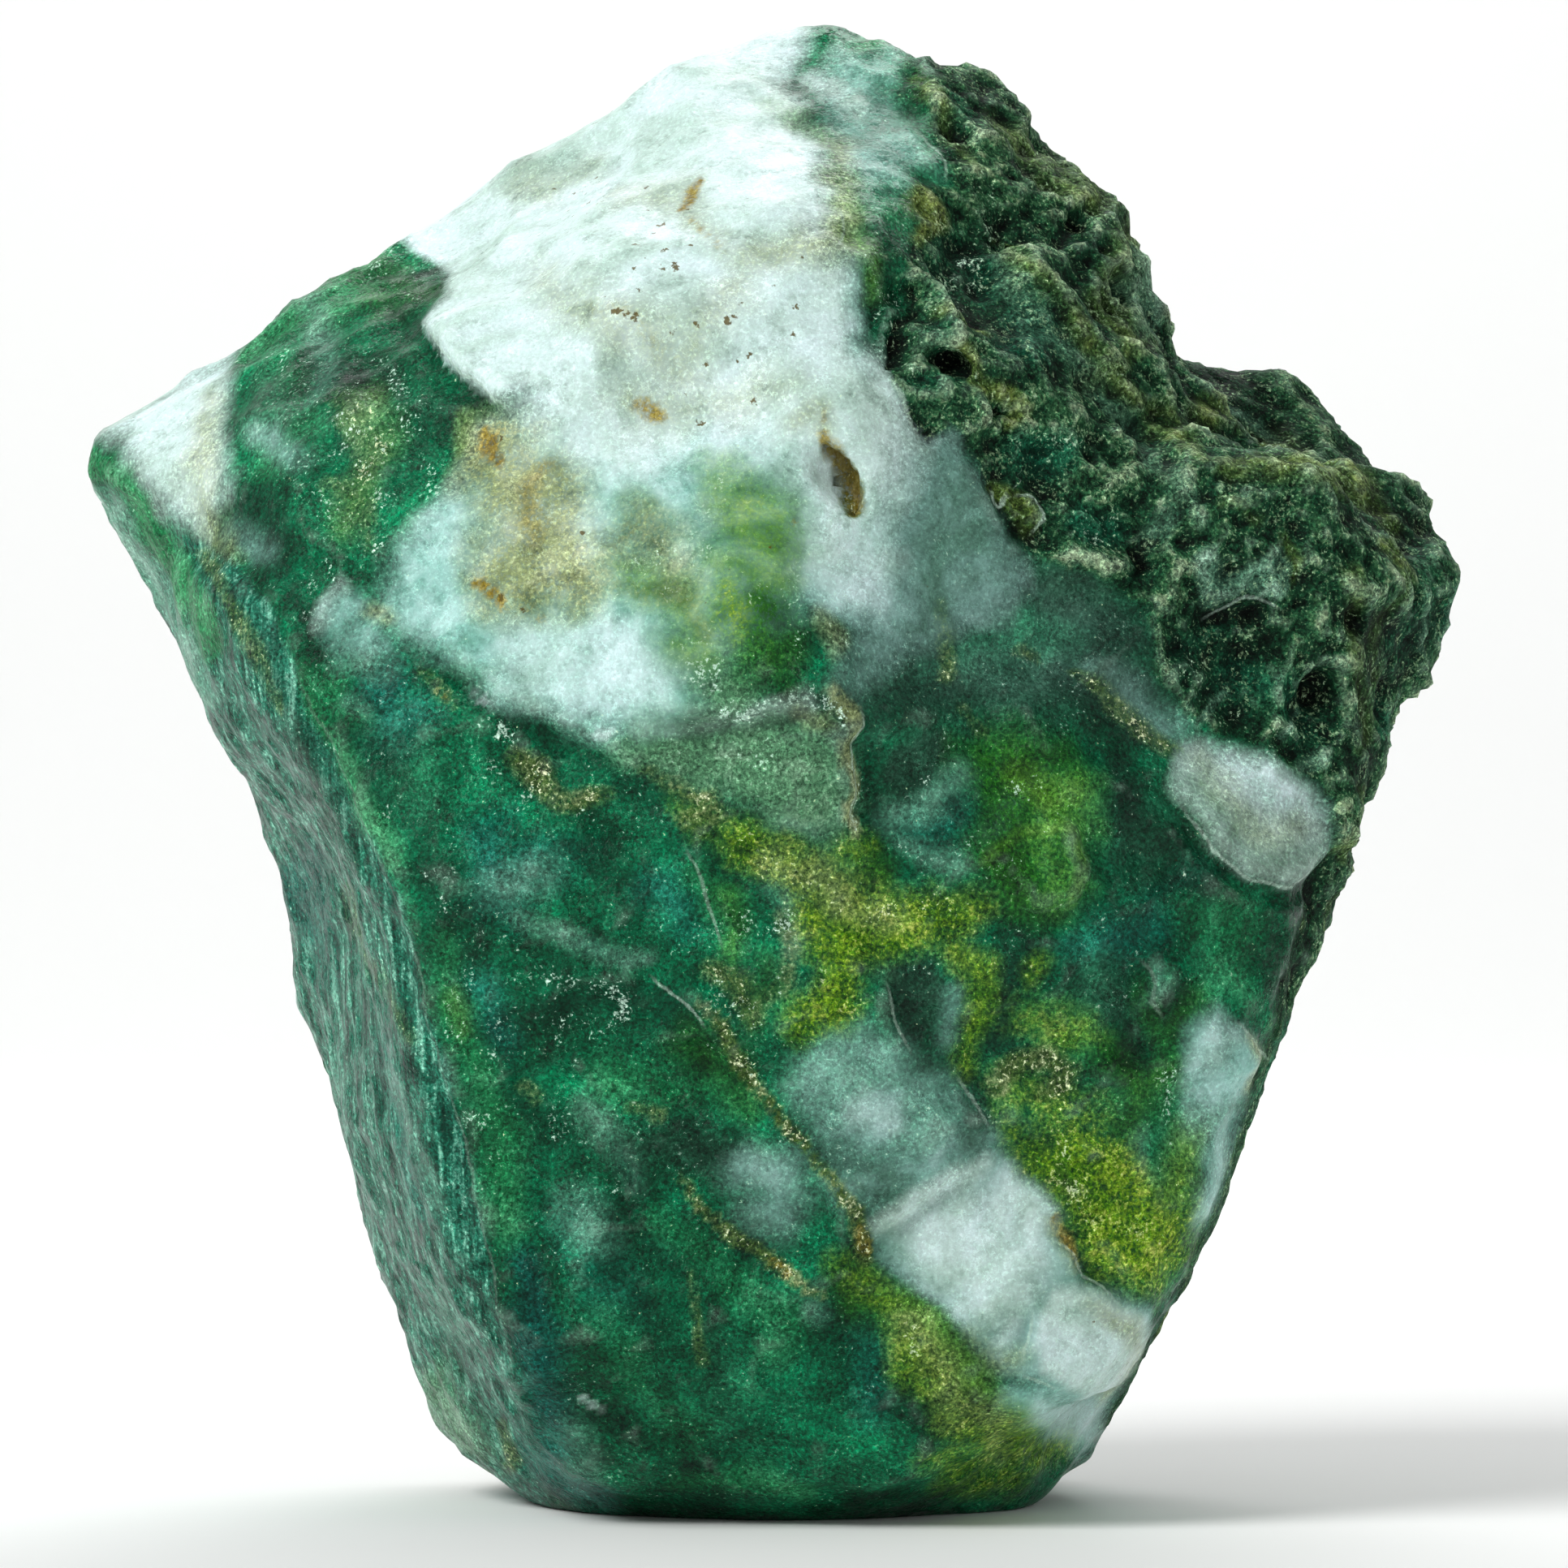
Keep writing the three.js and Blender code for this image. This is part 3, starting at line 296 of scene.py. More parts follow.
            (9.2, 6.2), (9.8, 7.2), (10.6, 7.4), (11.4, 7), (12.2, 6.5), (13, 6), (12.8, 4.9), (12.2, 3.9),
            (11.2, 3.4), (10.2, 3.8), (9.3, 4.2), (9.1, 5.2)]),
        ("vein, lower", 1, 0.8, 0.85, [
            (4.4, 9.4), (6.4, 10.6), (8, 10.8), (9, 9.6), (9.8, 8), (8.6, 6.4), (7, 6.2), (5.4, 7.8)]),
        ("vein, bright right", 0.7, 0.6, 0.9, [(8.2, 10.6, 0.5), (8.9, 9.4, 0.7), (9.4, 8.2, 0.5)]),
        ("vein, bright foot", 0.6, 0.6, 0.85, [
            (6.6, 6.6, 0.3), (7.6, 6.6, 0.6), (8.8, 7.2, 0.4), (7.9, 5.4, 0.3)]),
        ("vein, crease", 0.4, 0.5, 0.85, [
            (3.7, 9.2, 0.3), (4.8, 9.9, 0.5), (6.2, 10.7, 0.5), (7.4, 11.4, 0.2)]),
        ("vein, its cell", 0.6, 0.6, 0.32, [(3, 13.2, 0.6), (4.2, 13, 0.5)]),
        ("below the vein's end", 0.5, 0.6, 0.55, [(9.2, 3.2, 0.2), (10.4, 2.8, 0.5), (11.6, 2.5, 0.5)]),
        ("sage's ridge", 0.5, 0.7, 0.45, [
            (-4.4, 26.2, 0.3), (-2.6, 26.5, 0.35), (-0.6, 26.4, 0.3), (1.6, 27.1, 0.35)]),
        ("crown's wisp", 0.3, 0.5, 0.6, [(1.6, 48.6, 0.25), (2.3, 47.8, 0.3), (3.2, 47, 0.25)]),
        ("pocket's rim", 0.5, 0.6, 0.5, [(-15.2, 29.4, 0.15), (-15, 30.4, 0.2), (-14.4, 31.2, 0.1)]),
        ("right edge", 0.6, 0.6, 0.45, [(14.9, 15, 0.5), (15.4, 16, 0.4)]),
        ("speck under the white", 0.12, 0.2, 0.9, [(-5.7, 25.95, 0.1), (-5.3, 25.8, 0.12)]),
        ("flakelet", 0.15, 0.2, 0.6, [(-9.8, 27.3, 0.1), (-9.3, 27, 0.15)]),
        ("foot's scratch", 0.12, 0.2, 0.8, [(-6.3, 3.5, 0.06), (-5.6, 3.1, 0.08)]),
    ],
    "cream": [
        ("beside the white", 1.2, 1.1, 0.95, [
            (-10.2, 36.4), (-9, 36.9), (-7.6, 36.2), (-7, 35.2), (-6.2, 34.2), (-6.4, 33), (-5.6, 32.2),
            (-5.4, 31.2), (-5.8, 30.4), (-7, 30.2), (-8.4, 29.9), (-9.6, 30.1), (-9.9, 31.2), (-9.5, 32.4),
            (-9.6, 33.6), (-10.4, 34.8)]),
        ("band", 1, 1, 0.8, [(-5.9, 32.4, 0.5), (-4.4, 33, 0.7), (-3.4, 32.4, 0.5), (-3, 31.4, 0.4)]),
        ("cap's top", 0.8, 0.8, 0.5, [
            (-5.2, 43.9, 0.3), (-3.8, 44, 0.5), (-2.6, 44.3, 0.6), (-2.2, 43, 0.4), (-1.6, 42.2, 0.3)]),
        ("cap's shoulder", 0.8, 0.8, 0.45, [(-8.4, 44.8, 0.4), (-7.2, 44.6, 0.6), (-6.2, 45, 0.4)]),
        ("cap's middle", 1.3, 1.1, 0.6, [
            (-7.6, 40.9, 0.4), (-6, 40.3, 0.6), (-5, 39.4, 0.7), (-4, 39.8, 0.7), (-3.2, 38.6, 0.7),
            (-2.4, 39.8, 0.5), (-1, 40.6, 0.4)]),
        ("cap's right", 1, 0.9, 0.7, [
            (-1, 41.7, 0.3), (0.2, 42.1, 0.5), (1.4, 42.5, 0.6), (2.3, 42.2, 0.4), (2.5, 44.4, 0.3),
            (2.4, 45.8, 0.3)]),
        ("cap's low right", 1.3, 1, 0.45, [
            (-4.6, 37.4, 0.8), (-2.6, 37.2, 0.8), (-0.6, 37.4, 0.7), (0.8, 37.6, 0.5)]),
        ("over the slot", 0.5, 0.6, 0.6, [(1, 36.2, 0.35), (1.8, 36.8, 0.4), (1.8, 35.9, 0.3)]),
        ("tip", 0.6, 0.8, 0.6, [(-18.8, 37.2, 0.4), (-19, 35, 0.5), (-18.9, 33.4, 0.5), (-18.2, 32.4, 0.4)]),
        ("flake", 0.7, 0.8, 0.35, [(14.6, 25.1, 0.3), (15.4, 24, 0.5), (16.4, 22.8, 0.6), (17.9, 22.8, 0.5)]),
        ("right edge", 0.3, 0.4, 0.8, [(16.1, 15.7, 0.15), (16.7, 14.9, 0.3), (16.5, 14, 0.25)]),
        ("vein's end", 0.4, 0.5, 0.55, [
            (11, 6.9, 0.25), (12.2, 5.9, 0.4), (12.7, 4.9, 0.3), (11.6, 3.4, 0.3)]),
        ("vein's low hem", 0.5, 0.6, 0.5, [(6.8, 5.8, 0.2), (7.6, 4.7, 0.3), (8.6, 4.8, 0.3)]),
        ("vein's right hem", 0.3, 0.4, 0.7, [(9.6, 9.4, 0.15), (10.2, 8.8, 0.2), (10.5, 8, 0.15)]),
        ("moss, foot", 0.8, 0.9, 0.4, [(4.6, 6, 0.4), (5.6, 4.6, 0.6), (6.6, 3.2, 0.5), (8, 2.2, 0.5)]),
        ("moss's light", 0.7, 0.8, 0.5, [
            (0.3, 21.6, 0.4), (1.6, 20.9, 0.6), (2.8, 20.2, 0.5), (4.6, 19.6, 0.3)]),
        ("step's lip", 0.12, 0.3, 1, [
            (2.3, 27.6, 0.15), (2.7, 26.8, 0.25), (2.8, 26, 0.15), (2.4, 25.5, 0.15), (2.7, 24.8, 0.22),
            (3, 24, 0.2), (2.7, 23.3, 0.2), (3.1, 22.6, 0.2)]),
        ("sage's ridge", 0.25, 0.5, 0.5, [(1.2, 26.8, 0.3), (2, 26.5, 0.35)]),
        ("pocket's speck", 0.35, 0.5, 0.7, [(-13.6, 30.3, 0.25), (-13, 29.9, 0.2)]),
        ("grey's speckle", 0.4, 0.6, 0.5, [(1.9, 29.8, 0.3), (2.4, 28.8, 0.25)]),
        ("upper left", 0.7, 0.8, 0.25, [(-14.2, 36.2, 0.3), (-13.4, 36.9, 0.45), (-12.9, 37.2, 0.3)]),
    ],
    "olive": [
        ("below the cap", 1, 1, 0.72, [
            (-2.2, 34.8), (-1.2, 35.2), (0.2, 34.6), (1, 33.6), (1.3, 32.2), (0.8, 31.4), (-0.4, 31.6),
            (-1.4, 32.4), (-2, 33.6)]),
        ("above the grass", 0.7, 0.8, 0.7, [(-1.8, 31.6, 0.3), (-0.4, 31.4, 0.5), (0.9, 31.1, 0.4)]),
        ("between the whites", 0.8, 0.9, 0.75, [
            (-5.6, 32, 0.4), (-4.2, 31.4, 0.7), (-3, 30.8, 0.7), (-2.2, 29.8, 0.5), (-2, 28.8, 0.4)]),
        ("below the vein", 0.7, 0.7, 0.8, [(5.6, 5.8, 0.4), (6.6, 4.4, 0.6), (7.6, 3.4, 0.5)]),
        ("upper left", 0.9, 0.9, 0.35, [(-13.9, 36.4, 0.5), (-13, 37, 0.6), (-14.2, 33, 0.6)]),
        ("strip", 0.4, 0.6, 0.5, [(6.6, 18.2, 0.5), (7.3, 17.2, 0.4), (7, 15.6, 0.3)]),
        ("lower right", 0.7, 0.9, 0.55, [(12.6, 10.8, 0.6), (13.6, 10.4, 0.5), (14.3, 12.3, 0.4)]),
        ("foot", 0.5, 0.8, 0.6, [(7.6, 3.6, 0.5), (8.8, 2.6, 0.5)]),
        ("crown", 0.5, 0.7, 0.4, [(0.2, 47.3, 0.35), (1.2, 46.7, 0.35), (2.4, 45.4, 0.25)]),
        ("crown's hem", 0.4, 0.6, 0.6, [(2.6, 44, 0.25), (2.6, 42.6, 0.3), (3.4, 42, 0.3), (3.6, 40.6, 0.2)]),
        ("left of the vein's end", 0.6, 0.8, 0.7, [(3.6, 7.4, 0.3), (4.6, 6.8, 0.6), (5.8, 5.6, 0.6)]),
        ("grass's light", 0.5, 0.7, 0.6, [(8.2, 24.6, 0.25), (9.2, 24.1, 0.4), (9.7, 23.5, 0.35)]),
        ("grass's ring", 0.3, 0.4, 0.55, [
            (7.5, 21.6, 0.15), (8.6, 22.5, 0.15), (10, 22.8, 0.15), (10.7, 21.6, 0.2), (10.4, 20.4, 0.15)]),
        ("white's right hem", 0.4, 0.6, 0.6, [(-3, 29.2, 0.3), (-2.4, 28.6, 0.3)]),
        ("left of it", 0.5, 0.6, 0.6, [(-10.2, 36.6, 0.25), (-10.2, 35.6, 0.3)]),
        ("ridge", 0.4, 0.5, 0.4, [(-10.6, 17.2, 0.3), (-10.3, 15.9, 0.3)]),
    ],
    "moss": [
        ("ridge", 0.8, 0.8, 1, [
            (-1.2, 22.6, 0.3), (0, 21.9, 0.6), (0.9, 21.4, 0.7), (1.6, 20.7, 0.8), (1.6, 19.7, 0.6),
            (2.2, 19, 0.6)]),
        ("ridge's left", 0.6, 0.7, 0.6, [(-3, 23.6, 0.3), (-2, 23, 0.4), (-0.8, 22.2, 0.4)]),
        ("middle", 0.9, 0.8, 1, [
            (1.8, 21.4), (3, 21.2), (4.4, 20.4), (5.6, 20.6), (7.4, 20.4), (6.8, 19.4), (5.4, 18.8),
            (4.4, 18.4), (3.4, 18.2), (2.2, 18.4), (1.8, 19.4)]),
        ("lower", 0.7, 0.8, 0.95, [
            (2.6, 18.8, 0.5), (2.8, 17.8, 0.7), (2.4, 16.9, 0.8), (1.6, 16.6, 0.6), (1.2, 16.2, 0.4)]),
        ("hem", 0.5, 0.6, 0.6, [(2.4, 21.6, 0.4), (3.4, 22.1, 0.35)]),
        ("strip", 0.6, 0.6, 0.75, [
            (6.2, 18.6, 0.4), (7.1, 17.9, 0.5), (7.2, 16.6, 0.4), (6.9, 15.4, 0.35), (6.9, 14.4, 0.2)]),
        ("knob", 0.4, 0.5, 0.6, [(8.9, 17.7, 0.25), (9.3, 18.3, 0.3)]),
        ("upper right", 0.8, 0.8, 0.55, [
            (8.6, 16.5, 0.4), (9.8, 16.4, 0.4), (11, 16, 0.3), (9.8, 15.6, 0.3)]),
        ("right, high", 0.9, 0.9, 0.6, [(8.4, 14.2, 0.5), (9.4, 13.4, 0.7), (10.6, 12.9, 0.6)]),
        ("right", 0.9, 0.9, 0.95, [
            (8, 13.4), (9, 12.5), (10.4, 12.6), (11.8, 11.9), (13, 10.6), (13.9, 10), (14.4, 9.2), (14, 7.9),
            (13.2, 7), (11.9, 7.5), (11.1, 8.3), (10.5, 9.1), (10, 10), (9.2, 10.9), (8.2, 12)]),
        ("below the vein", 0.7, 0.7, 0.9, [(4.6, 5.7, 0.5), (5.1, 4.6, 0.8), (5.7, 4, 0.6)]),
        ("foot", 0.8, 0.7, 0.9, [(6.5, 3, 0.5), (7.3, 2.1, 0.7), (9, 1.9, 0.6), (10.1, 1.9, 0.4)]),
        ("foot's end", 0.8, 0.8, 0.7, [(5.8, 1, 0.6), (8, 0.9, 0.7)]),
        ("under the vein", 0.7, 0.7, 0.55, [(2.6, 7.9, 0.4), (3.8, 7.1, 0.6), (4.6, 6.4, 0.5)]),
        ("under the cap", 0.5, 0.6, 0.9, [(-1.6, 30.9, 0.25), (-1.3, 30.2, 0.35), (-0.9, 29.4, 0.25)]),
        ("cap's hem", 0.6, 0.7, 0.35, [(-1.7, 35.2, 0.2), (-0.7, 35, 0.35), (-0.4, 34.2, 0.35)]),
        ("right face", 0.6, 0.7, 0.45, [(14, 11.5, 0.3), (13.9, 10.6, 0.4)]),
    ],
    "brown": [
        ("beside the white", 0.8, 0.8, 0.4, [
            (-7, 35.2, 0.4), (-7.7, 34, 0.6), (-8.1, 32.6, 0.5), (-8.8, 31.2, 0.4)]),
        ("between the whites", 0.6, 0.8, 0.4, [(-6.2, 32.7, 0.3), (-4.8, 33.1, 0.4), (-3.7, 33.6, 0.3)]),
        ("upper left, broad", 1.2, 1, 0.4, [(-14.2, 37.2, 0.8), (-13.6, 35, 1), (-14.2, 33, 0.7)]),
        ("vein's left side", 0.2, 0.4, 1, [
            (-2.3, 16.9, 0.1), (-1.6, 16, 0.2), (-1.1, 14.9, 0.25), (-0.3, 13.9, 0.22), (0.7, 12.5, 0.18),
            (1.8, 11.2, 0.18), (2.5, 10.4, 0.22), (3, 9.7, 0.22), (3.3, 8.6, 0.28), (3.4, 8, 0.18)]),
        ("beside it", 0.5, 0.8, 0.7, [(-2, 18, 0.3), (-1, 17.4, 0.5), (-0.6, 16.2, 0.4), (0.2, 17, 0.25)]),
        ("branch", 0.2, 0.5, 0.95, [
            (-2.8, 10.9, 0.08), (-2.3, 9.8, 0.15), (-1.3, 8.9, 0.2), (-0.3, 8.5, 0.2), (0.5, 8, 0.22),
            (1.3, 7.2, 0.18), (1.9, 6.8, 0.1)]),
        ("left patch", 0.4, 0.7, 0.9, [
            (-8.6, 25, 0.3), (-7.7, 24.6, 0.45), (-6.8, 23.8, 0.35), (-5.4, 23.7, 0.2)]),
        ("streak above", 0.3, 0.5, 0.8, [(-11.6, 28.1, 0.15), (-11, 27.3, 0.25), (-10.5, 27, 0.12)]),
        ("dark step", 0.4, 0.6, 0.8, [
            (-4.4, 24.9, 0.15), (-3.4, 24.3, 0.3), (-2.2, 23.8, 0.35), (-1.6, 23.2, 0.3), (-2.8, 23.2, 0.3)]),
        ("by the flake", 0.6, 0.8, 0.8, [
            (10.3, 27.9, 0.12), (11.1, 27.4, 0.28), (12, 26.8, 0.3), (12.8, 26.1, 0.25), (13.8, 25.4, 0.25)]),
        ("smear", 0.4, 0.5, 0.6, [(5.9, 30.4, 0.2), (6.1, 29.2, 0.3), (6, 27.6, 0.3)]),
        ("in the grey", 0.3, 0.5, 0.7, [(8.3, 28.6, 0.2), (9, 28.4, 0.2)]),
        ("in the grey, lower", 0.3, 0.5, 0.6, [(6.6, 26.6, 0.2), (7.3, 25.9, 0.2)]),
        ("cell by the moss", 0.4, 0.6, 0.8, [
            (7.9, 14, 0.35), (8.6, 14.9, 0.4), (9.6, 15.1, 0.4), (10.2, 14.6, 0.3), (9.6, 13.8, 0.4)]),
        ("between the veins", 0.4, 0.6, 0.6, [(0.4, 19.8, 0.25), (1, 18.6, 0.4), (0.8, 17.4, 0.3)]),
        ("left of the cloud", 0.35, 0.5, 0.65, [(-4.6, 13.3, 0.2), (-3.6, 12.9, 0.3)]),
        ("spot", 0.35, 0.5, 0.6, [(-8.2, 14.1, 0.2), (-7.7, 13.6, 0.25)]),
        ("foot's column", 0.3, 0.5, 0.7, [(-2.5, 7.8, 0.12), (-2.2, 6, 0.2), (-2, 4.8, 0.18)]),
        ("upper left", 0.5, 0.8, 0.55, [(-14.8, 34.4, 0.3), (-13.6, 33.4, 0.5), (-13.2, 32.4, 0.3)]),
        ("left face's top", 0.4, 0.3, 0.6, [
            (-18.9, 31.9, 0.3), (-18, 30, 0.35), (-17.2, 28.4, 0.3), (-16.4, 26.8, 0.2)]),
        ("left face", 0.4, 0.3, 0.45, [(-14.2, 20.6, 0.3), (-13.6, 18.6, 0.3), (-11.9, 15.6, 0.25)]),
        ("left face's foot", 0.3, 0.3, 0.6, [(-9, 2.6, 0.2), (-8.6, 1.2, 0.35)]),
        ("white's hem", 0.5, 0.7, 0.6, [
            (-5.2, 31.2, 0.2), (-3.8, 30.8, 0.4), (-2.6, 30.4, 0.4), (-1.9, 29.4, 0.3)]),
        ("slot", 0.15, 0.2, 1, [(2.6, 34.7, 0.3), (2.9, 34.1, 0.45), (3.1, 33.6, 0.35)]),
        ("moss's shade", 0.3, 0.5, 0.6, [(9.8, 11.4, 0.2), (10.2, 10.4, 0.25)]),
    ],
    "rust": [
        ("blotch", 0.2, 0.4, 1, [(-9.5, 36.2, 0.15), (-9.2, 35.6, 0.32), (-8.9, 35, 0.2)]),
        ("blotch's haze", 0.6, 0.7, 0.45, [(-9.5, 35.6, 0.3), (-8.6, 36.3, 0.3), (-7.4, 36.5, 0.12)]),
        ("haze", 0.6, 0.8, 0.6, [(-7.2, 35, 0.25), (-7.9, 33.8, 0.35), (-8.2, 33, 0.35), (-8.2, 32.3, 0.2)]),
        ("low blotch", 0.15, 0.4, 1, [(-9.6, 31, 0.2), (-9.2, 30.7, 0.22), (-8.9, 30.2, 0.15)]),
        ("low specks", 0.15, 0.3, 0.7, [(-8.2, 30.1, 0.08), (-7.6, 29.8, 0.1)]),
        ("trail", 0.2, 0.4, 0.9, [(-2.2, 44.7, 0.12), (-2.6, 44.3, 0.22), (-2.9, 43.8, 0.12)]),
        ("trail's tail", 0.2, 0.4, 0.65, [(-2.5, 43.5, 0.1), (-2.1, 42.8, 0.12), (-1.5, 42.1, 0.1)]),
        ("paleGrainAndGlint", 0.3, 0.3, 1, [(-4.1, 37.1, 0.25), (-3.7, 36.8, 0.25)]),
        ("dot's haze", 0.9, 0.6, 0.4, [(-4.4, 37.3, 0.3), (-3.4, 36.7, 0.3)]),
        ("dot's tail", 0.15, 0.3, 0.8, [(-3.5, 36.7, 0.12), (-3.3, 36.6, 0.1)]),
        ("over the slot", 0.15, 0.3, 0.7, [(2, 36.7, 0.1), (1.9, 36.3, 0.08)]),
        ("slot", 0.2, 0.2, 1, [(1.8, 35.9, 0.15), (2.2, 35.4, 0.3), (2.7, 34.5, 0.35), (3.1, 33.7, 0.3)]),
        ("vein's gold", 0.25, 0.4, 0.75, [(3.1, 9.2, 0.15), (3.4, 8.4, 0.2)]),
        ("vein's right gold", 0.2, 0.4, 0.8, [(9.7, 9.6, 0.12), (10.3, 8.9, 0.18), (10.7, 8, 0.12)]),
        ("branch's gold", 0.2, 0.3, 0.7, [(0.2, 8.2, 0.1), (0.8, 7.7, 0.12)]),
        ("streak's gold", 0.2, 0.3, 0.6, [(-11.1, 27.4, 0.12), (-10.8, 27.1, 0.1)]),
        ("cap's specks", 0.8, 0.8, 0.4, [(-5.6, 40.1, 0.15), (-4.3, 39.8, 0.3), (-3.3, 39, 0.25)]),
        ("grass's hem", 0.15, 0.3, 0.6, [(0.9, 33.2, 0.12), (1.1, 33, 0.08)]),
    ],
    "rind": [
        ("upper right", 0.3, 0.5, 1, [
            (6, 52), (6, 48.6), (5.6, 47.2), (5.7, 46.2), (6, 45.2), (6, 44.2), (4.8, 44.2), (4.6, 43.2),
            (4.7, 42.4), (4.6, 41.4), (4.4, 40.2), (4.3, 39), (4, 38.2), (4.3, 37.4), (5.1, 36), (5.5, 35.7),
            (6.4, 36), (7.2, 35.2), (7.6, 33.8), (8.1, 32.5), (9.4, 31.8), (11, 31.3), (12.7, 30.4),
            (12.9, 28.8), (13.2, 27.8), (14.2, 26.6), (15.2, 25.9), (16.8, 25.5), (18.2, 24.5), (18.9, 23.8),
            (19, 22.4), (18.8, 20.8), (18.4, 19.2), (19.5, 17), (27, 20), (27, 52)]),
        ("left margin", 0.8, 0.9, 0.62, [
            (4.5, 43.4, 0.2), (3.9, 41.6, 0.5), (3.8, 40, 0.5), (3.9, 38.8, 0.2)]),
        ("crown's margin", 0.8, 0.9, 0.75, [
            (5.6, 49.4, 0.5), (5.2, 48, 0.4), (5, 47, 0.3), (5.4, 46.2, 0.2)]),
        ("right margin", 0.15, 0.25, 0.9, [(18.3, 19.2, 0.1), (17.6, 17.6, 0.12), (17, 14.4, 0.1)]),
    ],
    "glow": [
        ("crest", 0.6, 0.8, 0.85, [(8.5, 39.7, 0.6), (9.3, 39, 0.6)]),
        ("slope", 0.5, 0.7, 0.7, [(7.5, 41, 0.5), (6.9, 41.7, 0.4)]),
        ("hollow", 0.5, 0.6, 0.95, [(8.7, 35.4, 0.7), (9.9, 35.2, 0.7)]),
        ("sparkling hollow", 0.4, 0.6, 0.95, [(10.6, 33, 0.5), (11.7, 32.8, 0.5)]),
        ("top", 0.4, 0.5, 0.6, [(7.1, 46.7, 0.3), (6.8, 47.2, 0.3)]),
        ("margin", 0.5, 0.6, 0.55, [(4.9, 37.4, 0.4), (6.1, 37.7, 0.4)]),
        ("lower", 0.8, 0.9, 0.7, [(15.8, 27.4, 0.7), (17.2, 27.4, 0.6), (18.4, 25.9, 0.4)]),
        ("lower left", 0.7, 0.8, 0.45, [(14.2, 28.4, 0.6), (15.6, 29.2, 0.5)]),
        ("hump", 0.6, 0.7, 0.5, [(22.6, 32.2, 0.4), (22, 30, 0.5), (21.4, 28.6, 0.3)]),
        ("slate slope", 0.5, 0.6, 0.45, [(6, 42.4, 0.5), (5.8, 39.4, 0.5)]),
    ],
    "crust": [
        ("knob", 0.3, 0.4, 1, [(4.8, 43.7, 0.4), (5.4, 43.2, 0.45), (5, 42.7, 0.3)]),
        ("rims of the holes", 0.3, 0.5, 0.7, [(5.6, 40, 0.15), (6.4, 39.9, 0.2), (7.2, 39.9, 0.2)]),
        ("tan ring", 0.25, 0.3, 0.95, [
            (6.8, 38.8, 0.25), (7.3, 37.6, 0.3), (8.2, 37.5, 0.28), (8.6, 36.8, 0.2), (8.1, 36.3, 0.15)]),
        ("shell", 0.25, 0.3, 0.9, [(7.8, 34.2, 0.3), (8.7, 33.6, 0.5), (8.9, 32.9, 0.35)]),
        ("right slope", 0.8, 1, 0.55, [(12.6, 42.8, 0.5), (12, 41, 0.7), (12.8, 39.4, 0.5), (11, 37.9, 0.3)]),
        ("upper slope", 0.7, 0.9, 0.55, [(9.6, 44.4, 0.5), (11.4, 44, 0.5), (8.4, 46.6, 0.4)]),
        ("ridge", 0.4, 0.6, 0.6, [(7.4, 42.4, 0.15), (9.4, 40.9, 0.2), (10.8, 38.9, 0.25), (12.4, 37, 0.3)]),
        ("near crest", 0.5, 0.7, 0.65, [(13, 36.6, 0.35), (13.9, 36, 0.35), (14.6, 34.9, 0.2)]),
        ("hump's crest", 0.5, 0.7, 0.75, [
            (15.4, 34.8, 0.3), (16.8, 34.8, 0.4), (18.6, 34.4, 0.35), (20.6, 34.1, 0.35), (21.8, 33.4, 0.3)]),
        ("far hump", 0.8, 0.8, 0.8, [
            (15, 36.8, 0.5), (17.8, 36.8, 0.8), (19.6, 35.4, 0.6), (21.4, 33.8, 0.4)]),
        ("facet's edge", 0.2, 0.4, 0.7, [(17.6, 32.4, 0.2), (17.9, 31.8, 0.2), (17.8, 31, 0.12)]),
        ("facet's top", 0.3, 0.4, 0.5, [(15.3, 33.7, 0.15), (15.9, 33.6, 0.15), (16.6, 33.1, 0.2)]),
        ("top", 0.4, 0.6, 0.55, [(5.4, 47.7, 0.3), (6.1, 47, 0.3), (6.8, 45, 0.25)]),
        ("right side", 0.5, 0.7, 0.5, [(19.7, 31.4, 0.3), (20.2, 25.6, 0.3), (21.6, 31.6, 0.2)]),
    ],
    "facet": [
        ("pale face", 0.2, 0.3, 0.85, [
            (14.3, 31.8), (15, 32.2), (15.6, 31.3), (16.4, 31.5), (17.4, 32.1), (17.8, 31.4), (17.5, 30.4),
            (16.7, 30.6), (16.2, 30.6), (15.4, 30.2), (14.8, 30.4)]),
        ("left of it", 0.4, 0.6, 0.5, [(13.4, 33.2, 0.35), (12.9, 32.4, 0.3)]),
        ("lower edge", 0.15, 0.3, 0.7, [(14.6, 26.2, 0.12), (15.2, 26.9, 0.15), (15.8, 27.3, 0.1)]),
        ("lower edge, right", 0.12, 0.3, 0.6, [(17.4, 25.7, 0.12), (18, 26.5, 0.1), (18.5, 27.1, 0.1)]),
        ("by the flake", 0.3, 0.5, 0.5, [(18.7, 25, 0.3), (18.1, 24.6, 0.25)]),
        ("far fringe", 0.25, 0.3, 0.6, [(15.6, 37.9, 0.15), (17, 37.9, 0.25), (18.2, 37.3, 0.15)]),
        ("crown's hem", 0.3, 0.5, 0.5, [(5.3, 48.5, 0.2), (6, 48.1, 0.15)]),
        ("slope", 0.5, 0.7, 0.35, [(9, 39.6, 0.4), (7.6, 42, 0.3), (14.6, 33, 0.4)]),
    ],
    # where pale grains of sugar quartz lie, which also stand in for painted glints
    "sugar": [
        ("upper left, broad", 1.2, 1, 0.5, [
            (-16.5, 38, 0.8), (-14.5, 36.5, 1.6), (-13.2, 33.5, 1.6), (-12.4, 31.5, 0.6)]),
        ("middle, broad", 1.2, 1, 0.45, [
            (-10.4, 21, 0.8), (-10.4, 18, 0.6), (-8.6, 14, 0.8), (-6.6, 12.4, 0.6)]),
        ("round the moss, broad", 1.2, 1, 0.5, [(-0.4, 18.6, 1.2), (-0.6, 15.6, 0.8), (1.6, 18.6, 1)]),
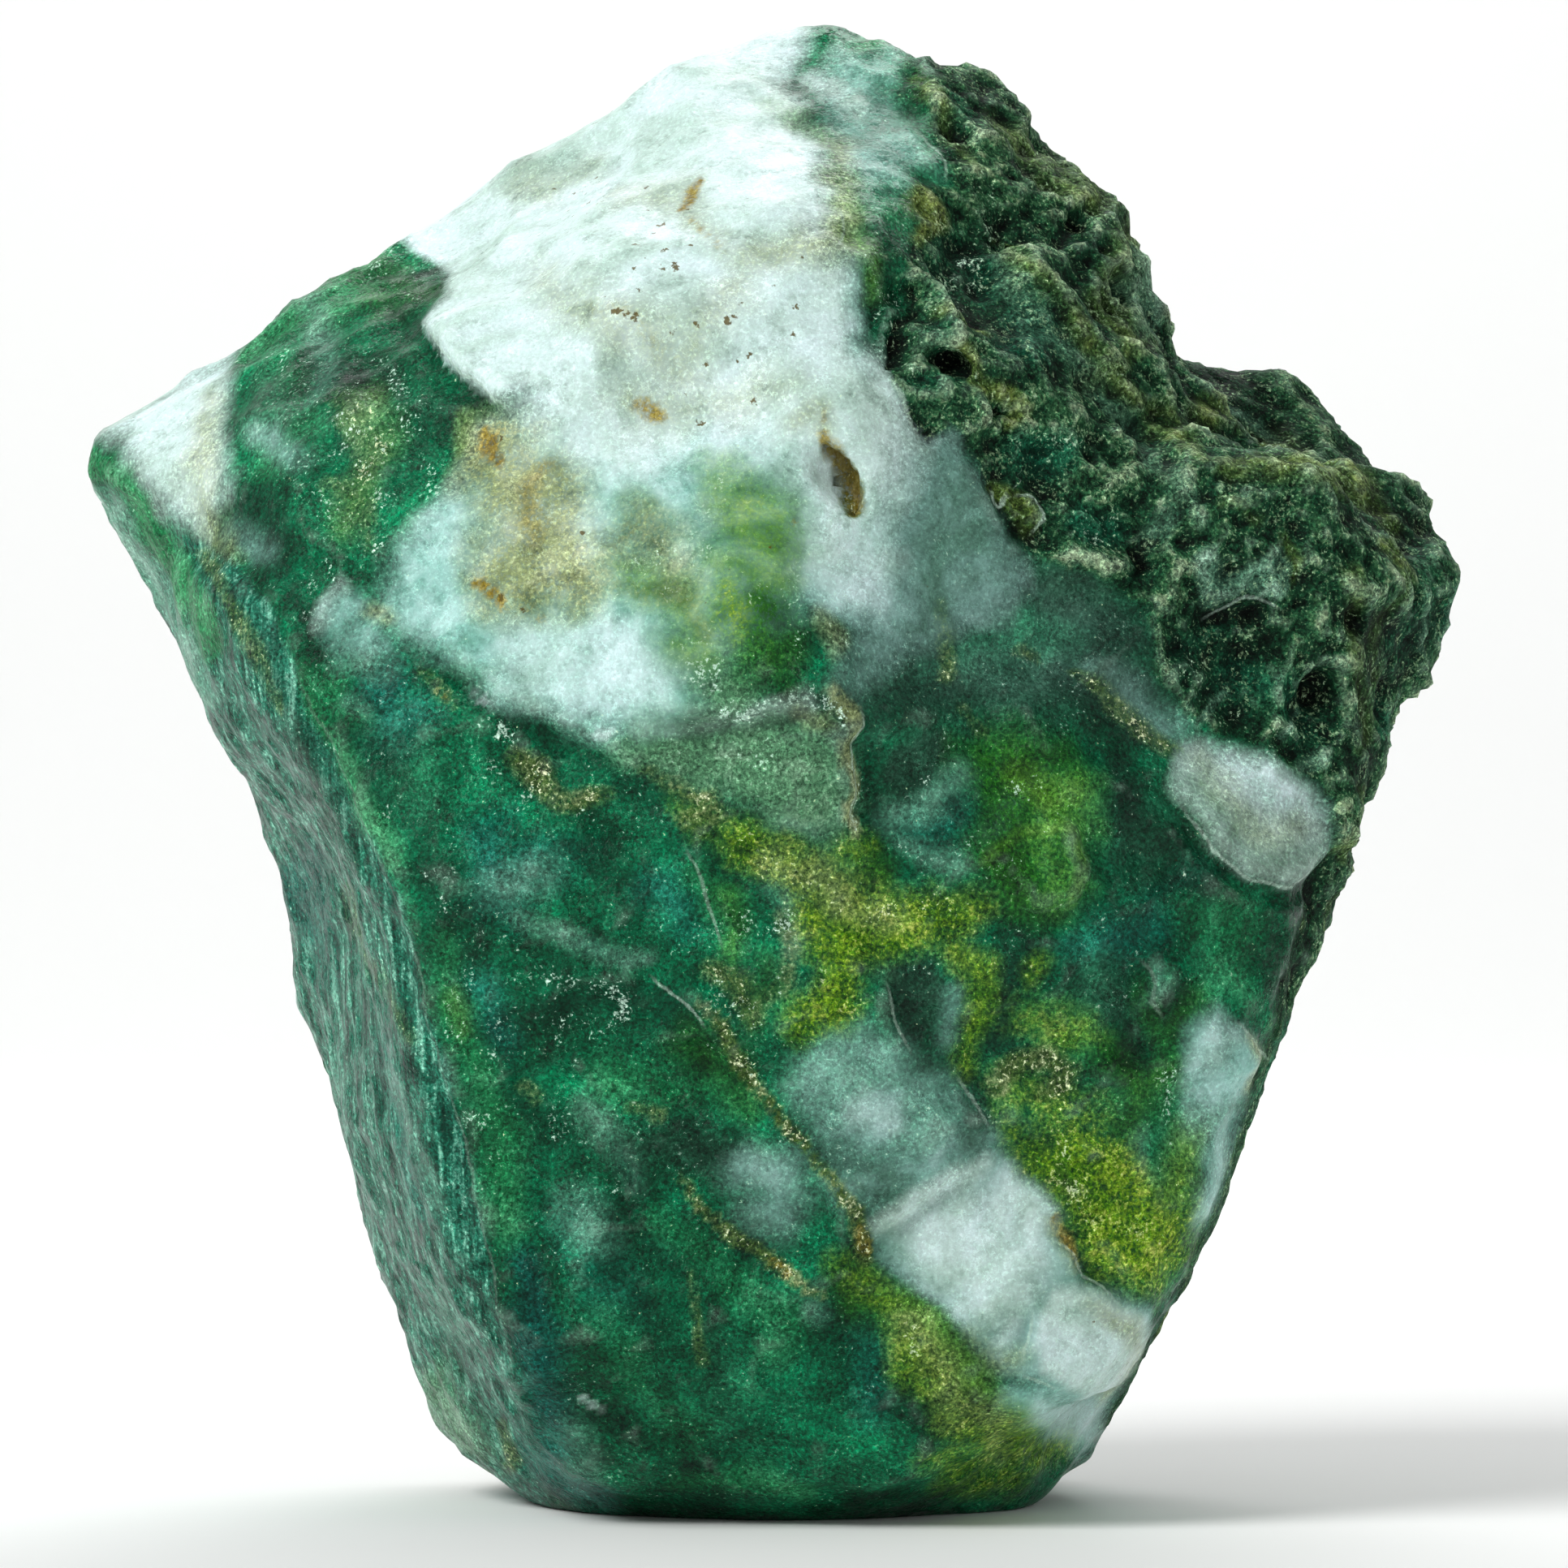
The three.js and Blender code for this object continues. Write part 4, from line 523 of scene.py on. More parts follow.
        ("crushed patch", 0.4, 0.6, 1, [
            (-8.3, 17.8, 0.4), (-6.6, 17.6, 0.5), (-5.2, 17.2, 0.5), (-4.3, 17.5, 0.3)]),
        ("its core", 0.3, 0.4, 1, [(-4.7, 17.1, 0.3), (-5.3, 15.9, 0.3)]),
        ("its left", 0.25, 0.3, 0.9, [(-9.7, 16.5, 0.25), (-9.1, 16.1, 0.2)]),
        ("below it", 0.6, 0.8, 0.6, [(-7.6, 16, 0.7), (-6.4, 15.2, 0.6), (-6.5, 14.3, 0.4)]),
        ("under the white", 0.4, 0.5, 1, [(-10.5, 25.7, 0.25), (-9.6, 26.3, 0.35), (-8.8, 25.9, 0.35)]),
        ("lower", 0.4, 0.5, 0.7, [(-10.2, 25, 0.3), (-9.5, 24.6, 0.3)]),
        ("streak", 0.3, 0.4, 0.8, [(-11.9, 28.2, 0.25), (-11.2, 27.6, 0.25), (-10.6, 27, 0.15)]),
        ("left patch", 0.3, 0.4, 0.7, [(-8.4, 23.6, 0.2), (-7.9, 24.2, 0.2), (-6.2, 23, 0.2)]),
        ("upper left, high", 0.4, 0.5, 0.8, [(-12.8, 41.6, 0.4), (-11.6, 42.1, 0.3)]),
        ("upper left, mid", 0.4, 0.5, 0.8, [(-16.1, 37, 0.25), (-15.5, 37, 0.3)]),
        ("upper left", 0.7, 0.9, 0.8, [
            (-13.6, 35, 0.5), (-13.8, 33.4, 0.9), (-13.2, 32.4, 0.7), (-14.6, 32, 0.4)]),
        ("upper left, right", 0.5, 0.6, 0.6, [(-14, 38.7, 0.4), (-12.6, 38, 0.5), (-11.6, 34.2, 0.5)]),
        ("by the pocket", 0.4, 0.5, 0.7, [(-15.4, 31, 0.25), (-15.7, 29.9, 0.25)]),
        ("bright speck", 0.15, 0.2, 0.9, [(-11.1, 36.9, 0.15), (-10.9, 36.8, 0.1)]),
        ("right of the white", 0.9, 0.8, 0.7, [
            (-3, 29, 0.6), (-2, 28, 0.8), (-1.4, 27.2, 0.7), (-3.4, 26.8, 0.5)]),
        ("sage's ridge", 0.4, 0.6, 1, [
            (-3.7, 26.4, 0.2), (-1.6, 26.4, 0.35), (0, 26.6, 0.35), (1, 27, 0.4), (2.2, 27.2, 0.35)]),
        ("between the whites", 0.8, 0.8, 0.5, [(-5.4, 31.6, 0.5), (-3.4, 31, 0.7), (-1.6, 34.4, 0.7)]),
        ("round the slot", 1, 0.8, 0.45, [(1.6, 29.8, 0.6), (2.4, 28.4, 0.6), (1, 33.4, 0.5)]),
        ("vein", 0.8, 0.8, 0.4, [(2.4, 11.6, 0.6), (4.6, 10.9, 0.7), (6.6, 11.6, 0.6), (5, 12.6, 0.4)]),
        ("in the sage", 0.4, 0.6, 0.5, [(-0.9, 25.2, 0.3), (0.8, 25.2, 0.3)]),
        ("step's lip", 0.15, 0.3, 1, [(2.6, 27.2, 0.2), (2.5, 25.2, 0.2), (3, 23.8, 0.2), (3.1, 22.6, 0.15)]),
        ("above the moss", 0.4, 0.6, 0.8, [(0.8, 18.8, 0.4), (0.4, 17.6, 0.4), (0.6, 19.8, 0.4)]),
        ("left of the moss", 0.4, 0.6, 0.75, [(-1.9, 22.9, 0.35), (-2.2, 22.2, 0.25), (-0.6, 22.4, 0.25)]),
        ("beside the vein", 0.4, 0.5, 0.7, [(-1.6, 17.4, 0.3), (-1.9, 16.4, 0.25), (-0.8, 16, 0.25)]),
        ("vein's top", 0.2, 0.3, 0.8, [(0.8, 15.6, 0.12), (1.2, 15.9, 0.12)]),
        ("right of the step", 0.2, 0.4, 1, [(4.2, 22.2, 0.12), (5.3, 21.6, 0.18), (6.4, 21.7, 0.18)]),
        ("above that", 0.2, 0.4, 0.8, [(4.2, 23.2, 0.12), (5.4, 24.1, 0.18), (6.3, 24.6, 0.15)]),
        ("in the grass", 0.5, 0.7, 0.6, [(8.9, 24.4, 0.3), (8, 23.4, 0.3), (7.4, 22.2, 0.35)]),
        ("grey's hem", 0.3, 0.5, 0.7, [(6.7, 26.4, 0.25), (7.3, 25.8, 0.2)]),
        ("in the grey", 0.4, 0.5, 0.5, [(8.4, 28.5, 0.3), (9.8, 27.4, 0.3)]),
        ("lower right", 0.5, 0.6, 0.8, [(13.3, 13.4, 0.35), (13.9, 14.7, 0.3), (13.4, 11.8, 0.2)]),
        ("in the moss", 0.4, 0.5, 0.7, [(10.2, 12, 0.25), (10, 11, 0.3), (10.4, 10.4, 0.2)]),
        ("below the vein", 0.4, 0.5, 0.8, [(4.7, 5.7, 0.25), (4.9, 4.4, 0.35), (5.4, 4, 0.25)]),
        ("middle", 0.35, 0.5, 0.7, [(-6.8, 13.6, 0.2), (-6.2, 13.2, 0.15)]),
        ("above the branch", 0.3, 0.5, 0.7, [(-5.2, 10.5, 0.2), (-4.4, 10.3, 0.2), (-3.6, 11.1, 0.12)]),
        ("ridge", 0.4, 0.5, 0.6, [(-10, 12.8, 0.2), (-9.6, 13.7, 0.25), (-9, 11.8, 0.25)]),
        ("left", 0.4, 0.5, 0.7, [(-11.4, 21.3, 0.3), (-10.5, 20.8, 0.3), (-10.9, 19.4, 0.3)]),
        ("left haze", 0.3, 0.4, 0.7, [(-12.2, 23.9, 0.2), (-12.6, 23.4, 0.2)]),
        ("ridge's sparks", 0.2, 0.3, 0.8, [(-14.9, 25.6, 0.1), (-14.5, 25.1, 0.1)]),
        ("ridge's sparks, lower", 0.2, 0.3, 0.7, [(-12.4, 21.3, 0.12), (-12.2, 20.7, 0.12)]),
        ("rind's margin", 0.8, 0.8, 0.6, [
            (3.8, 42.4, 0.5), (3.7, 39.9, 0.6), (4.9, 37.6, 0.4), (5.7, 37, 0.4)]),
        ("rind, left", 0.7, 0.9, 0.7, [(5.8, 39.4, 0.7), (6.8, 41.6, 0.6), (7.2, 44.4, 0.4)]),
        ("sparkling hollow", 0.4, 0.6, 1, [(10.7, 33.1, 0.5), (11.7, 32.9, 0.4)]),
        ("hollow", 0.5, 0.6, 0.6, [(8.8, 35.6, 0.6), (10, 35.4, 0.5)]),
        ("rind, low", 0.5, 0.7, 0.6, [(14.2, 28.6, 0.6), (14.9, 26.5, 0.3), (17.6, 26, 0.4)]),
    ],
    "goldSugar": [
        ("upper left, broad", 1, 1, 0.4, [(-14.8, 37.6, 0.8), (-13.6, 35.6, 1.2), (-14, 33, 0.9)]),
        ("left patch", 0.3, 0.5, 1, [
            (-8.5, 24.9, 0.35), (-7.6, 24.5, 0.45), (-6.7, 23.9, 0.35), (-5.6, 23.8, 0.2)]),
        ("upper left", 0.4, 0.6, 1, [(-13.7, 36.6, 0.4), (-13, 36.8, 0.5), (-14, 34, 0.4)]),
        ("pocket", 0.25, 0.4, 0.9, [(-13.6, 30.3, 0.25), (-13.1, 30, 0.25)]),
        ("tip's right", 0.3, 0.4, 0.5, [(-16.2, 34.4, 0.2), (-15.8, 34.2, 0.2)]),
        ("by the flake", 0.25, 0.4, 1, [
            (10.8, 27.7, 0.2), (11.6, 27, 0.3), (12.6, 26.2, 0.28), (13.6, 25.5, 0.3)]),
        ("in the grey", 0.3, 0.4, 0.8, [(8.3, 28.5, 0.25), (8.9, 28.5, 0.2)]),
        ("smear", 0.3, 0.4, 0.5, [(6.1, 29.8, 0.15), (6.1, 28.2, 0.2)]),
        ("vein's left side", 0.3, 0.4, 0.9, [
            (-1.8, 16.9, 0.25), (-1, 15.2, 0.25), (-0.3, 14, 0.25), (0.6, 12.7, 0.15)]),
        ("left of the cloud", 0.3, 0.4, 0.7, [(-4.5, 13.2, 0.2), (-3.6, 12.9, 0.3)]),
        ("foot's column", 0.3, 0.4, 0.7, [(-2.3, 6.4, 0.2), (-2, 4.8, 0.2)]),
        ("branch", 0.25, 0.4, 0.95, [(-1.5, 9, 0.25), (-0.3, 8.5, 0.25), (0.5, 8, 0.25), (1.5, 7.1, 0.12)]),
        ("spot", 0.3, 0.4, 0.7, [(-8.1, 14, 0.25), (-7.6, 13.6, 0.25)]),
        ("cell by the moss", 0.3, 0.4, 0.8, [(7.9, 13.8, 0.25), (8.4, 14.7, 0.25), (9.4, 15, 0.3)]),
        ("moss", 0.6, 0.7, 1, [(0.4, 21.7, 0.4), (1.7, 20.8, 0.6), (3.2, 19.8, 0.5), (6.8, 20.4, 0.25)]),
        ("right moss", 0.5, 0.7, 0.5, [(10.2, 10.2, 0.4), (11.6, 9, 0.6), (12.8, 9.2, 0.5)]),
        ("knob", 0.4, 0.5, 0.8, [(4.6, 43.6, 0.4), (5.3, 42.9, 0.4)]),
        ("cream", 0.4, 0.5, 0.6, [(-8.2, 33, 0.4), (-7.4, 34.4, 0.35)]),
        ("ridge", 0.3, 0.4, 0.6, [(-10.6, 19.3, 0.25), (-10.4, 17, 0.25)]),
        ("ring", 0.3, 0.4, 0.7, [(7.2, 38.4, 0.25), (7.8, 37.6, 0.3)]),
    ],
    "specks": [
        ("cap, broad", 1.2, 1, 0.7, [
            (-7, 44.6, 0.6), (-3, 43.4, 1.2), (-3.6, 39.4, 1.8), (0, 40, 1.2), (-1.6, 36.8, 1.2),
            (2, 37.6, 0.6)]),
        ("cap's shoulder", 0.2, 0.3, 0.8, [(-7.6, 45, 0.15), (-7.1, 44.2, 0.15)]),
        ("left of the trail", 0.25, 0.3, 0.8, [(-4.6, 43.9, 0.15), (-3.7, 43.8, 0.25), (-2.6, 44, 0.4)]),
        ("trail", 0.25, 0.3, 0.7, [(-2.4, 43.2, 0.2), (-1.5, 42.1, 0.2)]),
        ("cap's middle", 0.4, 0.5, 1, [(-5.4, 39.8, 0.3), (-4.2, 39.8, 0.4), (-4.6, 38.9, 0.3)]),
        ("cap's middle, low", 0.3, 0.4, 0.9, [(-3.2, 39.2, 0.2), (-3.4, 38.5, 0.3), (-2.4, 38.8, 0.3)]),
        ("cap's middle, right", 0.3, 0.4, 0.7, [(-2, 40.7, 0.2), (-1.7, 39.3, 0.2), (-1.3, 38.2, 0.2)]),
        ("cap's right", 0.4, 0.5, 0.6, [(0.6, 43.5, 0.3), (1.2, 42.3, 0.4), (0.1, 42, 0.3)]),
        ("blotch", 0.4, 0.5, 1, [(-9.4, 36.2, 0.4), (-8.9, 35.2, 0.5), (-7.6, 36.5, 0.3)]),
        ("haze", 0.4, 0.5, 0.9, [(-7.6, 34.5, 0.5), (-8.2, 33, 0.45)]),
        ("low blotch", 0.3, 0.4, 0.9, [(-9.5, 30.9, 0.35), (-8.8, 30.2, 0.3), (-7.6, 29.9, 0.2)]),
        ("paleGrainAndGlint", 0.25, 0.3, 0.8, [(-4, 37, 0.3), (-3.4, 36.6, 0.3), (-2.6, 37.2, 0.15)]),
        ("over the slot", 0.3, 0.4, 0.7, [(1.9, 36.8, 0.3), (1.2, 36, 0.2), (0, 37.6, 0.2)]),
        ("cream's right", 0.3, 0.4, 0.7, [(-6.4, 33.5, 0.25), (-6.6, 31.2, 0.2)]),
        ("below the cap", 0.4, 0.5, 0.6, [(-3, 30.8, 0.4), (-2.2, 30.2, 0.3), (1, 33.2, 0.2)]),
        ("vein's hem", 0.3, 0.4, 0.6, [(10.5, 8.6, 0.2), (11.3, 5.8, 0.2), (14.6, 11.6, 0.15)]),
    ],
}

# Edges where flakes broke away, each with a thin painted highlight along it, across and up. Each has a name,
# how far what lies to the left, going along, stands proud, how strong its painted highlight is, and its
# points.
rims = [
    ("cap's flake", 0.3, 0.8, [
        (-11.7, 40), (-10.9, 38.7), (-10.3, 38), (-9.8, 37.8), (-9, 37.1), (-8.2, 36.5)]),
    ("crown's flake", 0.16, 0.8, [(5.9, 44.2), (5.85, 45), (5.4, 45.8), (4.7, 46.7)]),
    ("grey's upper edge", 0.14, 0.7, [(5.35, 35.7), (5, 36.4), (4.6, 37.1), (4, 37.9)]),
    ("cell beside the vein", 0.14, 0.5, [(4.95, 15), (4.5, 15.9), (4.2, 16.9), (3.9, 17.6)]),
    ("vein's right rim", 0.2, 0.5, [(7.6, 12.5), (7, 13.5), (6.4, 14.4)]),
    ("vein's crease", 0.16, 0.3, [(3.5, 8.8), (4.8, 9.8), (6.2, 10.8), (7.5, 11.5)]),
    ("vein's end, top", 0.22, 0.6, [(12.1, 6.4), (11.4, 7.2), (10.8, 7.6), (10.3, 8.5), (9.6, 9)]),
    ("vein's end, left", 0.12, 0.7, [(9.1, 6.4), (9.05, 5.4), (8.7, 4.8)]),
    ("vein's end, foot", 0.1, 0.6, [(8.6, 4.3), (9.4, 4), (10, 3.8)]),
    ("facet on the right", 0.12, 0.7, [(16.95, 14.8), (16.4, 15.5), (15.7, 16.3)]),
    ("flake's left edge", 0.22, 0.7, [
        (13.7, 23.9), (14.5, 22.8), (15.1, 21.9), (16.2, 21), (17.6, 20.7), (18.5, 21.2), (18.8, 22.4)]),
    ("edge by the sugar", 0.08, 0.7, [(-3.95, 17.85), (-3.2, 17.2), (-2.6, 16.6), (-2.1, 15.9)]),
    ("crack in the green", 0.06, 0.45, [(-2.7, 22.2), (-2.2, 21), (-1.9, 19.8), (-1.3, 18.5)]),
    ("rind's facet", 0.16, 0.6, [(14.7, 29.7), (15.6, 30.2), (16.3, 30.55), (17, 30.3), (17.5, 30)]),
    ("shell", 0.16, 0.9, [(9.1, 32.6), (9.5, 33.2), (9.3, 33.75), (9, 34.1), (8.4, 34)]),
    ("small shell", 0.12, 0.9, [(8.25, 34.2), (8.1, 33.6), (7.75, 33.7), (7.7, 34.3)]),
    ("cap's curved edge", 0.08, 0.6, [(2.35, 42), (2.6, 42.8), (2.5, 43.7)]),
    ("tip's fold", 0.08, 0.3, [(-21.8, 35.3), (-21, 34.4), (-20, 33.1)]),
    ("sage's crest", 0.24, 0.15, [
        (-4.6, 25.9), (-3, 26.5), (-1.2, 26.4), (0.4, 26.6), (1.6, 27.1), (2.5, 27.6)]),
    ("foot of the white", 0.2, 0.05, [
        (-12, 29.7), (-10.8, 28.4), (-9, 27.1), (-7, 26), (-5.4, 25.2), (-3.6, 24.2)]),
    ("ridge of the left face", 0.14, 0.2, [
        (-17.4, 31.3), (-16.1, 28.5), (-14, 24), (-12.3, 20), (-11.3, 16), (-10.1, 12), (-9.4, 8), (-8.5, 4),
        (-7.8, 1.6)]),
    ("moss's cliff", 0.2, 0.1, [
        (8.2, 20.2), (9.4, 19.9), (10.6, 20.3), (10.9, 21.4), (10.4, 22.6), (9.4, 23.4)]),
    ("right cliff", 0.18, 0.3, [(12.4, 18.4), (13.1, 17.6), (12.9, 16.9), (13.4, 16.2)]),
    ("step", 0.26, 0.9, [
        (3.25, 22.4), (3, 23.2), (3.1, 24), (2.85, 24.9), (2.7, 25.6), (3.05, 26.2), (2.95, 27)]),
]

# Hollows sunk into the front, and crests raised on it, which have a depth below 0. Each has a name, its depth
# in mm, how far its edge fades, and a streak as above.
dents = [
    ("slot", 0.7, 0.2, [(2, 35.5, 0.1), (2.4, 35, 0.25), (2.8, 34.3, 0.42), (3.1, 33.7, 0.3)]),
    ("hole by the cap", 0.35, 0.2, [(4.7, 40.9, 0.15), (5.1, 40.8, 0.15)]),
    ("hole below it", 0.4, 0.2, [(6.1, 38.5, 0.15), (6.7, 38.3, 0.15)]),
    ("hole in the tan ring", 0.4, 0.2, [(8, 36.7, 0.15), (8.3, 36.6, 0.15)]),
    ("hole in the slope", 0.4, 0.2, [(10.9, 43.6, 0.2), (11.2, 43.5, 0.2)]),
    ("small hole in the slope", 0.3, 0.2, [(8.1, 44.6, 0.15), (8.4, 44.5, 0.15)]),
    ("hole by the facet", 0.4, 0.2, [(12.4, 32, 0.25), (12.7, 31.6, 0.2)]),
    ("rind's ridge", -0.55, 0.7, [
        (5.6, 47, 0.1), (6.4, 44.6, 0.1), (7.4, 42.5, 0.2), (9.4, 40.9, 0.2), (10.8, 38.9, 0.2),
        (12.4, 37, 0.2)]),
    ("hollow right of it", 0.5, 1.2, [(9.4, 44, 0.2), (10.6, 42, 0.4), (11.8, 39.6, 0.4)]),
    ("hollow left of it", 0.4, 0.9, [(6, 42, 0.2), (7.6, 39.8, 0.3), (10, 37.6, 0.2)]),
    ("hump's crest", -0.45, 0.7, [
        (14.6, 34.7, 0.2), (16.8, 34.7, 0.3), (19.6, 34.3, 0.3), (21.6, 33.4, 0.2)]),
    ("hollow below it", 0.4, 0.9, [(15.4, 33, 0.2), (18.4, 32.8, 0.4), (20.4, 31.6, 0.3)]),
]


def smoothStep(low, high, value):
    share = np.clip((value - low) / (high - low), 0, 1)
    return share * share * (3 - 2 * share)


def mix(low, high, share):
    return low + (high - low) * share


def softNoise(points, size, shift):
    # smooth bumps size mm apart, about -1 to 1
    return np.array([noise.noise(Vector(p)) for p in (points / size + shift).tolist()])


def cloudNoise(points, size, shift, octaves=4):
    # the same with ever finer bumps on it
    return np.array([noise.fractal(Vector(p), 0.8, 2.1, octaves) for p in (points / size + shift).tolist()])


def ridgeNoise(points, size, shift, octaves=4):
    # sharp crests between rounded hollows, about -1 to 1
    values = [noise.ridged_multi_fractal(Vector(p), 0.85, 2.1, octaves, 1.0, 1.8)
              for p in (points / size + shift).tolist()]
    return (np.array(values) - 1.1) / 0.7


def cells(points, size, shift):
    # how far each point is from the middle of its cell, in cell sizes, and where that middle is
    near = np.empty(len(points))
    middles = np.empty((len(points), 3))
    for i, p in enumerate((points / size + shift).tolist()):
        distances, places = noise.voronoi(Vector(p))
        near[i] = distances[0]
        middles[i] = places[0]
    return near, middles


def cellLuck(middles, salt):
    # one number from 0 to 1 for each cell
    wave = np.sin(middles @ np.array([12.99, 78.23, 37.72]) + salt) * 4375.85
    return wave - np.floor(wave)


def scoops(points, size, shift):
    # shell-like hollows, as chalcedony breaks in: deepest at their middles, with sharp edges between them
    bend = np.stack([softNoise(points, size * 0.9, shift + turn) for turn in (3.3, 8.8, 14.1)], axis=1)
    near = cells(points + bend * size * 0.35, size, shift)[0]
    return near * near - 0.28


def crumbs(points, size, shift):
    # rounded knobs side by side
    return cells(points, size, shift)[0] - 0.5


def layered(pattern, points, *rows):
    # a pattern at one or more sizes, each row with its height first
    return sum(height * pattern(points, *settings) for height, *settings in rows)


def outlineDistance(x, z, outline):
    # mm inside the outline, or minus the mm outside it
    nearest = np.full(len(x), 1e9)
    inside = np.zeros(len(x), bool)
    for (ax, az), (bx, bz) in zip(outline, outline[1:] + outline[:1]):
        ex, ez = bx - ax, bz - az
        t = np.clip(((x - ax) * ex + (z - az) * ez) / (ex * ex + ez * ez), 0, 1)
        nearest = np.minimum(nearest, np.hypot(x - ax - ex * t, z - az - ez * t))
        if az != bz:
            inside ^= ((az > z) != (bz > z)) & (x < ax + ex * (z - az) / ez)
    return np.where(inside, nearest, -nearest)


def streakDistance(x, z, streak):
    # mm inside a streak of changing half width, or minus the mm outside it
    deepest = np.full(len(x), -1e9)
    for (ax, az, ar), (bx, bz, br) in zip(streak, streak[1:]):
        ex, ez = bx - ax, bz - az
        t = np.clip(((x - ax) * ex + (z - az) * ez) / (ex * ex + ez * ez), 0, 1)
        deepest = np.maximum(deepest, mix(ar, br, t) - np.hypot(x - ax - ex * t, z - az - ez * t))
    return deepest


def rimPlaces(x, y, z):
    # for the nearest rim: mm to its left or right, how proud its left side stands here, and how strong its
    # painted highlight is
    side = np.full(len(x), 9.0)
    proud = np.zeros(len(x))
    pale = np.zeros(len(x))
    for name, rise, highlightStrength, line in rims:
        lengths = [math.dist(a, b) for a, b in zip(line, line[1:])]
        gone = 0
        for (ax, az), (bx, bz), length in zip(line, line[1:], lengths):
            ex, ez = (bx - ax) / length, (bz - az) / length
            along = (x - ax) * ex + (z - az) * ez
            t = np.clip(along, 0, length)
            away = np.hypot(x - ax - ex * t, z - az - ez * t)
            leftward = (z - az) * ex - (x - ax) * ez
            way = (gone + along) / sum(lengths)
            nearer = away < np.abs(side)
            side = np.where(nearer, np.where(leftward > 0, away, -away), side)
            here = smoothStep(0, 0.25, way) * smoothStep(1, 0.75, way)
            proud = np.where(nearer, rise * here, proud)
            pale = np.where(nearer, highlightStrength * here, pale)
            gone += length
    nearby = smoothStep(1.0, 0.4, np.abs(side)) * smoothStep(-2, -5, y)
    return np.clip(side, -1, 1), proud * nearby, pale * nearby


# The stone's fine mesh. Each kind of relief has its height and its width in mm, a seed, and at times how many
# layers of ever finer bumps make it.
stoneForm = {
    "spacing": 0.288,     # mm between the points of the finished mesh
    "smoothing": 6,       # passes that round the solid's facets off
    "bigScoops": (0.85, 6.5, 31.7),
    "middleScoops": (0.50, 2.9, 12.9),
    "smallScoops": (0.15, 1.25, 5.9),
    "swells": (0.10, 5.0, 41.1),
    "grit": (0.035, 0.9, 9.4, 3),
    "striations": [(0.06, 0.6, 4.4), (0.08, 1.5, 6.1), (0.09, 3.2, 2.1)],
    "leftTilt": 0.23,     # radians that the striations of the left face lean from upright
    "rindRidges": (0.42, 4.2, 19.6, 5),
    "rindCrumbs": (0.30, 1.5, 15.2),
    "rindGrit": (0.10, 1.1, 24.5, 3),
    "rindPits": (0.8, 2.6, 27.4),
    "pitLuck": 0.72,      # the share of the rind's cells that hold no pit
    "pitsRightOf": 5.8,   # mm, on the front
    "backCalm": 0.5,      # the share of the rind's relief that the back has
    "lowCalm": 0.4,       # and that low down on the front
    "rimSharpness": 0.2,  # mm over which the step at a rim rises
    "dentsBefore": 3,     # dents and crests are only on the skin in front of this
    "footFrom": (0.3, 1.8),    # mm above the ground, where the relief begins and where it is full
}

# How the minerals spread over the skin. Each row has how far or how strongly, its width in mm and a seed.
spread = {
    "strayX": [(0.6, 2.6, 3.1), (0.35, 0.9, 7.3)],
    "strayZ": [(0.6, 2.6, 13.7), (0.35, 0.9, 17.9)],
    "bendX": (4.0, 9, 5.5),    # edges bend more on the skin farther back
    "bendZ": (2.5, 9, 25.5),
    "bendFrom": (-5, 4),       # mm behind the middle, where that begins and where it is full
    "backFrom": (2.5, 5.0),    # and where the rind of the back begins and is full
    "backEdge": [(4.0, 11, 21.3), (1.2, 2.4, 14.9)],
    "backTurn": 18,            # how much farther back that is, in mm, as the skin turns away from the back
    "chipSize": 13,            # of places where the rind is chipped off
    "chipSeed": 8.8,
    "chipsFrom": (0.22, 0.3),  # fewer chips in the rind as this grows
    "milkySize": 8,
    "patchySize": 7,
    "facetSize": 5,
    # mineral, what holds it, its most, its pattern, and where in the pattern it begins and is full
    "hidden": [
        ("milk", "chipped", 0.7, "milky", 0.15, 0.5),
        ("ice", "chipped", 1, "milky", -0.05, 0.3),
        ("sugar", "chipped", 0.6, "milky", 0.1, -0.4),
        ("glow", "rind", 0.8, "patchy", 0.3, 0.6),
        ("crust", "rind", 0.7, "patchy", -0.25, -0.6),
        ("facet", "rind", 0.6, "facets", 0.35, 0.6),
    ],
}


def applyModifier(piece, kind, **settings):
    modifier = piece.modifiers.new(kind.lower(), kind)
    for name, value in settings.items():
        setattr(modifier, name, value)
    bpy.ops.object.modifier_apply(modifier=modifier.name)


def fineStone():
    # a merged copy of the solid, remeshed finely and evenly
    bpy.ops.object.select_all(action="DESELECT")
    stone = bpy.data.objects.new("mossAgate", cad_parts["stone"].data.copy())
    bpy.context.scene.collection.objects.link(stone)
    stone.select_set(True)
    bpy.context.view_layer.objects.active = stone
    bpy.ops.object.mode_set(mode="EDIT")
    bpy.ops.mesh.select_all(action="SELECT")
    bpy.ops.mesh.remove_doubles(threshold=1e-7)
    bpy.ops.object.mode_set(mode="OBJECT")
    applyModifier(stone, "REMESH", mode="VOXEL", voxel_size=stoneForm["spacing"] * mm)
    applyModifier(stone, "SMOOTH", factor=0.5, iterations=stoneForm["smoothing"])
    return stone


def pointsOf(mesh):
    flat = np.empty(len(mesh.vertices) * 3)
    mesh.vertices.foreach_get("co", flat)
    return flat.reshape(-1, 3) / mm


def normalsOf(mesh):
    flat = np.empty(len(mesh.vertices) * 3)
    mesh.vertex_normals.foreach_get("vector", flat)
    return flat.reshape(-1, 3)


def setPoints(mesh, points):
    mesh.vertices.foreach_set("co", (points * mm).ravel())
    mesh.update()


def setAttribute(mesh, name, values):
    attribute = mesh.attributes.new(name, "FLOAT", "POINT")
    attribute.data.foreach_set("value", values.astype(np.float32))


